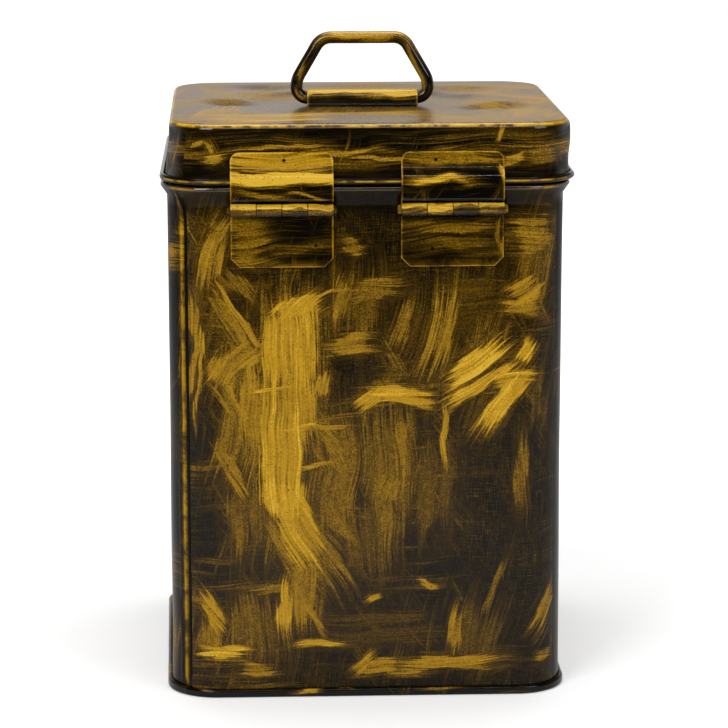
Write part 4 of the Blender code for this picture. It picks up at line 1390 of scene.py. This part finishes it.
def floor_finish():
    """Pale matt floor that is white where only the camera sees it, with the shadow kept."""
    material = bpy.data.materials.new("floor_white")
    material.use_nodes = True
    material.node_tree.nodes.clear()
    g = Graph(material.node_tree)
    diffuse = g.add("ShaderNodeBsdfDiffuse")
    diffuse.inputs["Color"].default_value = FLOOR_COLOUR
    glow = g.add("ShaderNodeEmission")
    seen = g.add("ShaderNodeLightPath").outputs["Is Camera Ray"]
    far = g.length(g.add("ShaderNodeTexCoord").outputs["Object"])
    g.feed(glow.inputs["Strength"], g.math("MULTIPLY", seen, g.ramp(far, 0.20, 0.60, 0.31, 1.0)))
    both = g.add("ShaderNodeAddShader")
    g.feed(both.inputs[0], diffuse.outputs[0])
    g.feed(both.inputs[1], glow.outputs[0])
    g.feed(g.add("ShaderNodeOutputMaterial").inputs["Surface"], both.outputs[0])
    return material


def studio_world():
    """White to the camera; to gloss, a pale wall behind the tin that fades upwards."""
    world = bpy.data.worlds.new("studio")
    world.use_nodes = True
    world.node_tree.nodes.clear()
    g = Graph(world.node_tree)
    toward = g.split(g.add("ShaderNodeTexCoord").outputs["Generated"])
    behind = g.ramp(toward[1], -0.15, 0.45)
    low = g.ramp(toward[2], 0.16, 0.44, 1.0, 0.10)
    wall = g.math("MULTIPLY_ADD", g.math("MULTIPLY", behind, low), 0.72, 0.03)
    ray = g.add("ShaderNodeLightPath").outputs
    gloss = g.math("MAXIMUM", ray["Is Glossy Ray"], ray["Is Transmission Ray"])
    soft = g.math("MULTIPLY", g.math("SUBTRACT", 1.0, gloss), 0.25)
    strength = g.math("MULTIPLY_ADD", gloss, wall, soft)
    unseen = g.math("SUBTRACT", 1.0, ray["Is Camera Ray"])
    strength = g.math("ADD", g.math("MULTIPLY", strength, unseen), ray["Is Camera Ray"])
    backdrop = g.add("ShaderNodeBackground")
    backdrop.inputs["Color"].default_value = WHITE
    g.feed(backdrop.inputs["Strength"], strength)
    g.feed(g.add("ShaderNodeOutputWorld").inputs["Surface"], backdrop.outputs[0])
    return world


def area_light(name, place, aim, size, power):
    data = bpy.data.lights.new(name, "AREA")
    data.shape = "RECTANGLE"
    data.size, data.size_y = size
    data.energy = power
    lamp = bpy.data.objects.new(name, data)
    lamp.location = place
    lamp.rotation_euler = (Vector(aim) - Vector(place)).to_track_quat("-Z", "Y").to_euler()
    bpy.context.scene.collection.objects.link(lamp)


def fitted_camera():
    data = bpy.data.cameras.new("view")
    data.sensor_width = SENSOR
    data.lens = FOCAL_PIXELS / PHOTO_PIXELS * SENSOR
    data.clip_start = 0.01
    camera = bpy.data.objects.new("view", data)
    yaw, pitch, roll = CAMERA_TURNS
    forward = Vector((sin(yaw) * cos(pitch), cos(yaw) * cos(pitch), -sin(pitch)))
    right = Vector((cos(yaw), -sin(yaw), 0.0))
    up = right.cross(forward)
    turned_right = right * cos(roll) + up * sin(roll)
    turned_up = up * cos(roll) - right * sin(roll)
    turn = Matrix((turned_right, turned_up, -forward)).transposed().to_4x4()
    camera.matrix_world = Matrix.Translation(CAMERA_PLACE) @ turn
    bpy.context.scene.collection.objects.link(camera)
    return camera


floor_mesh = bpy.data.meshes.new("studio_floor")
floor_mesh.from_pydata(FLOOR_CORNERS, [], [(0, 1, 2, 3)])
floor_mesh.materials.append(floor_finish())
floor = bpy.data.objects.new("studio_floor", floor_mesh)
floor.location.z = -FLOOR_DROP
bpy.context.scene.collection.objects.link(floor)
bpy.context.scene.world = studio_world()
for lamp_settings in LAMPS:
    area_light(*lamp_settings)
bpy.context.scene.camera = fitted_camera()
bpy.context.scene.view_settings.view_transform = "Standard"
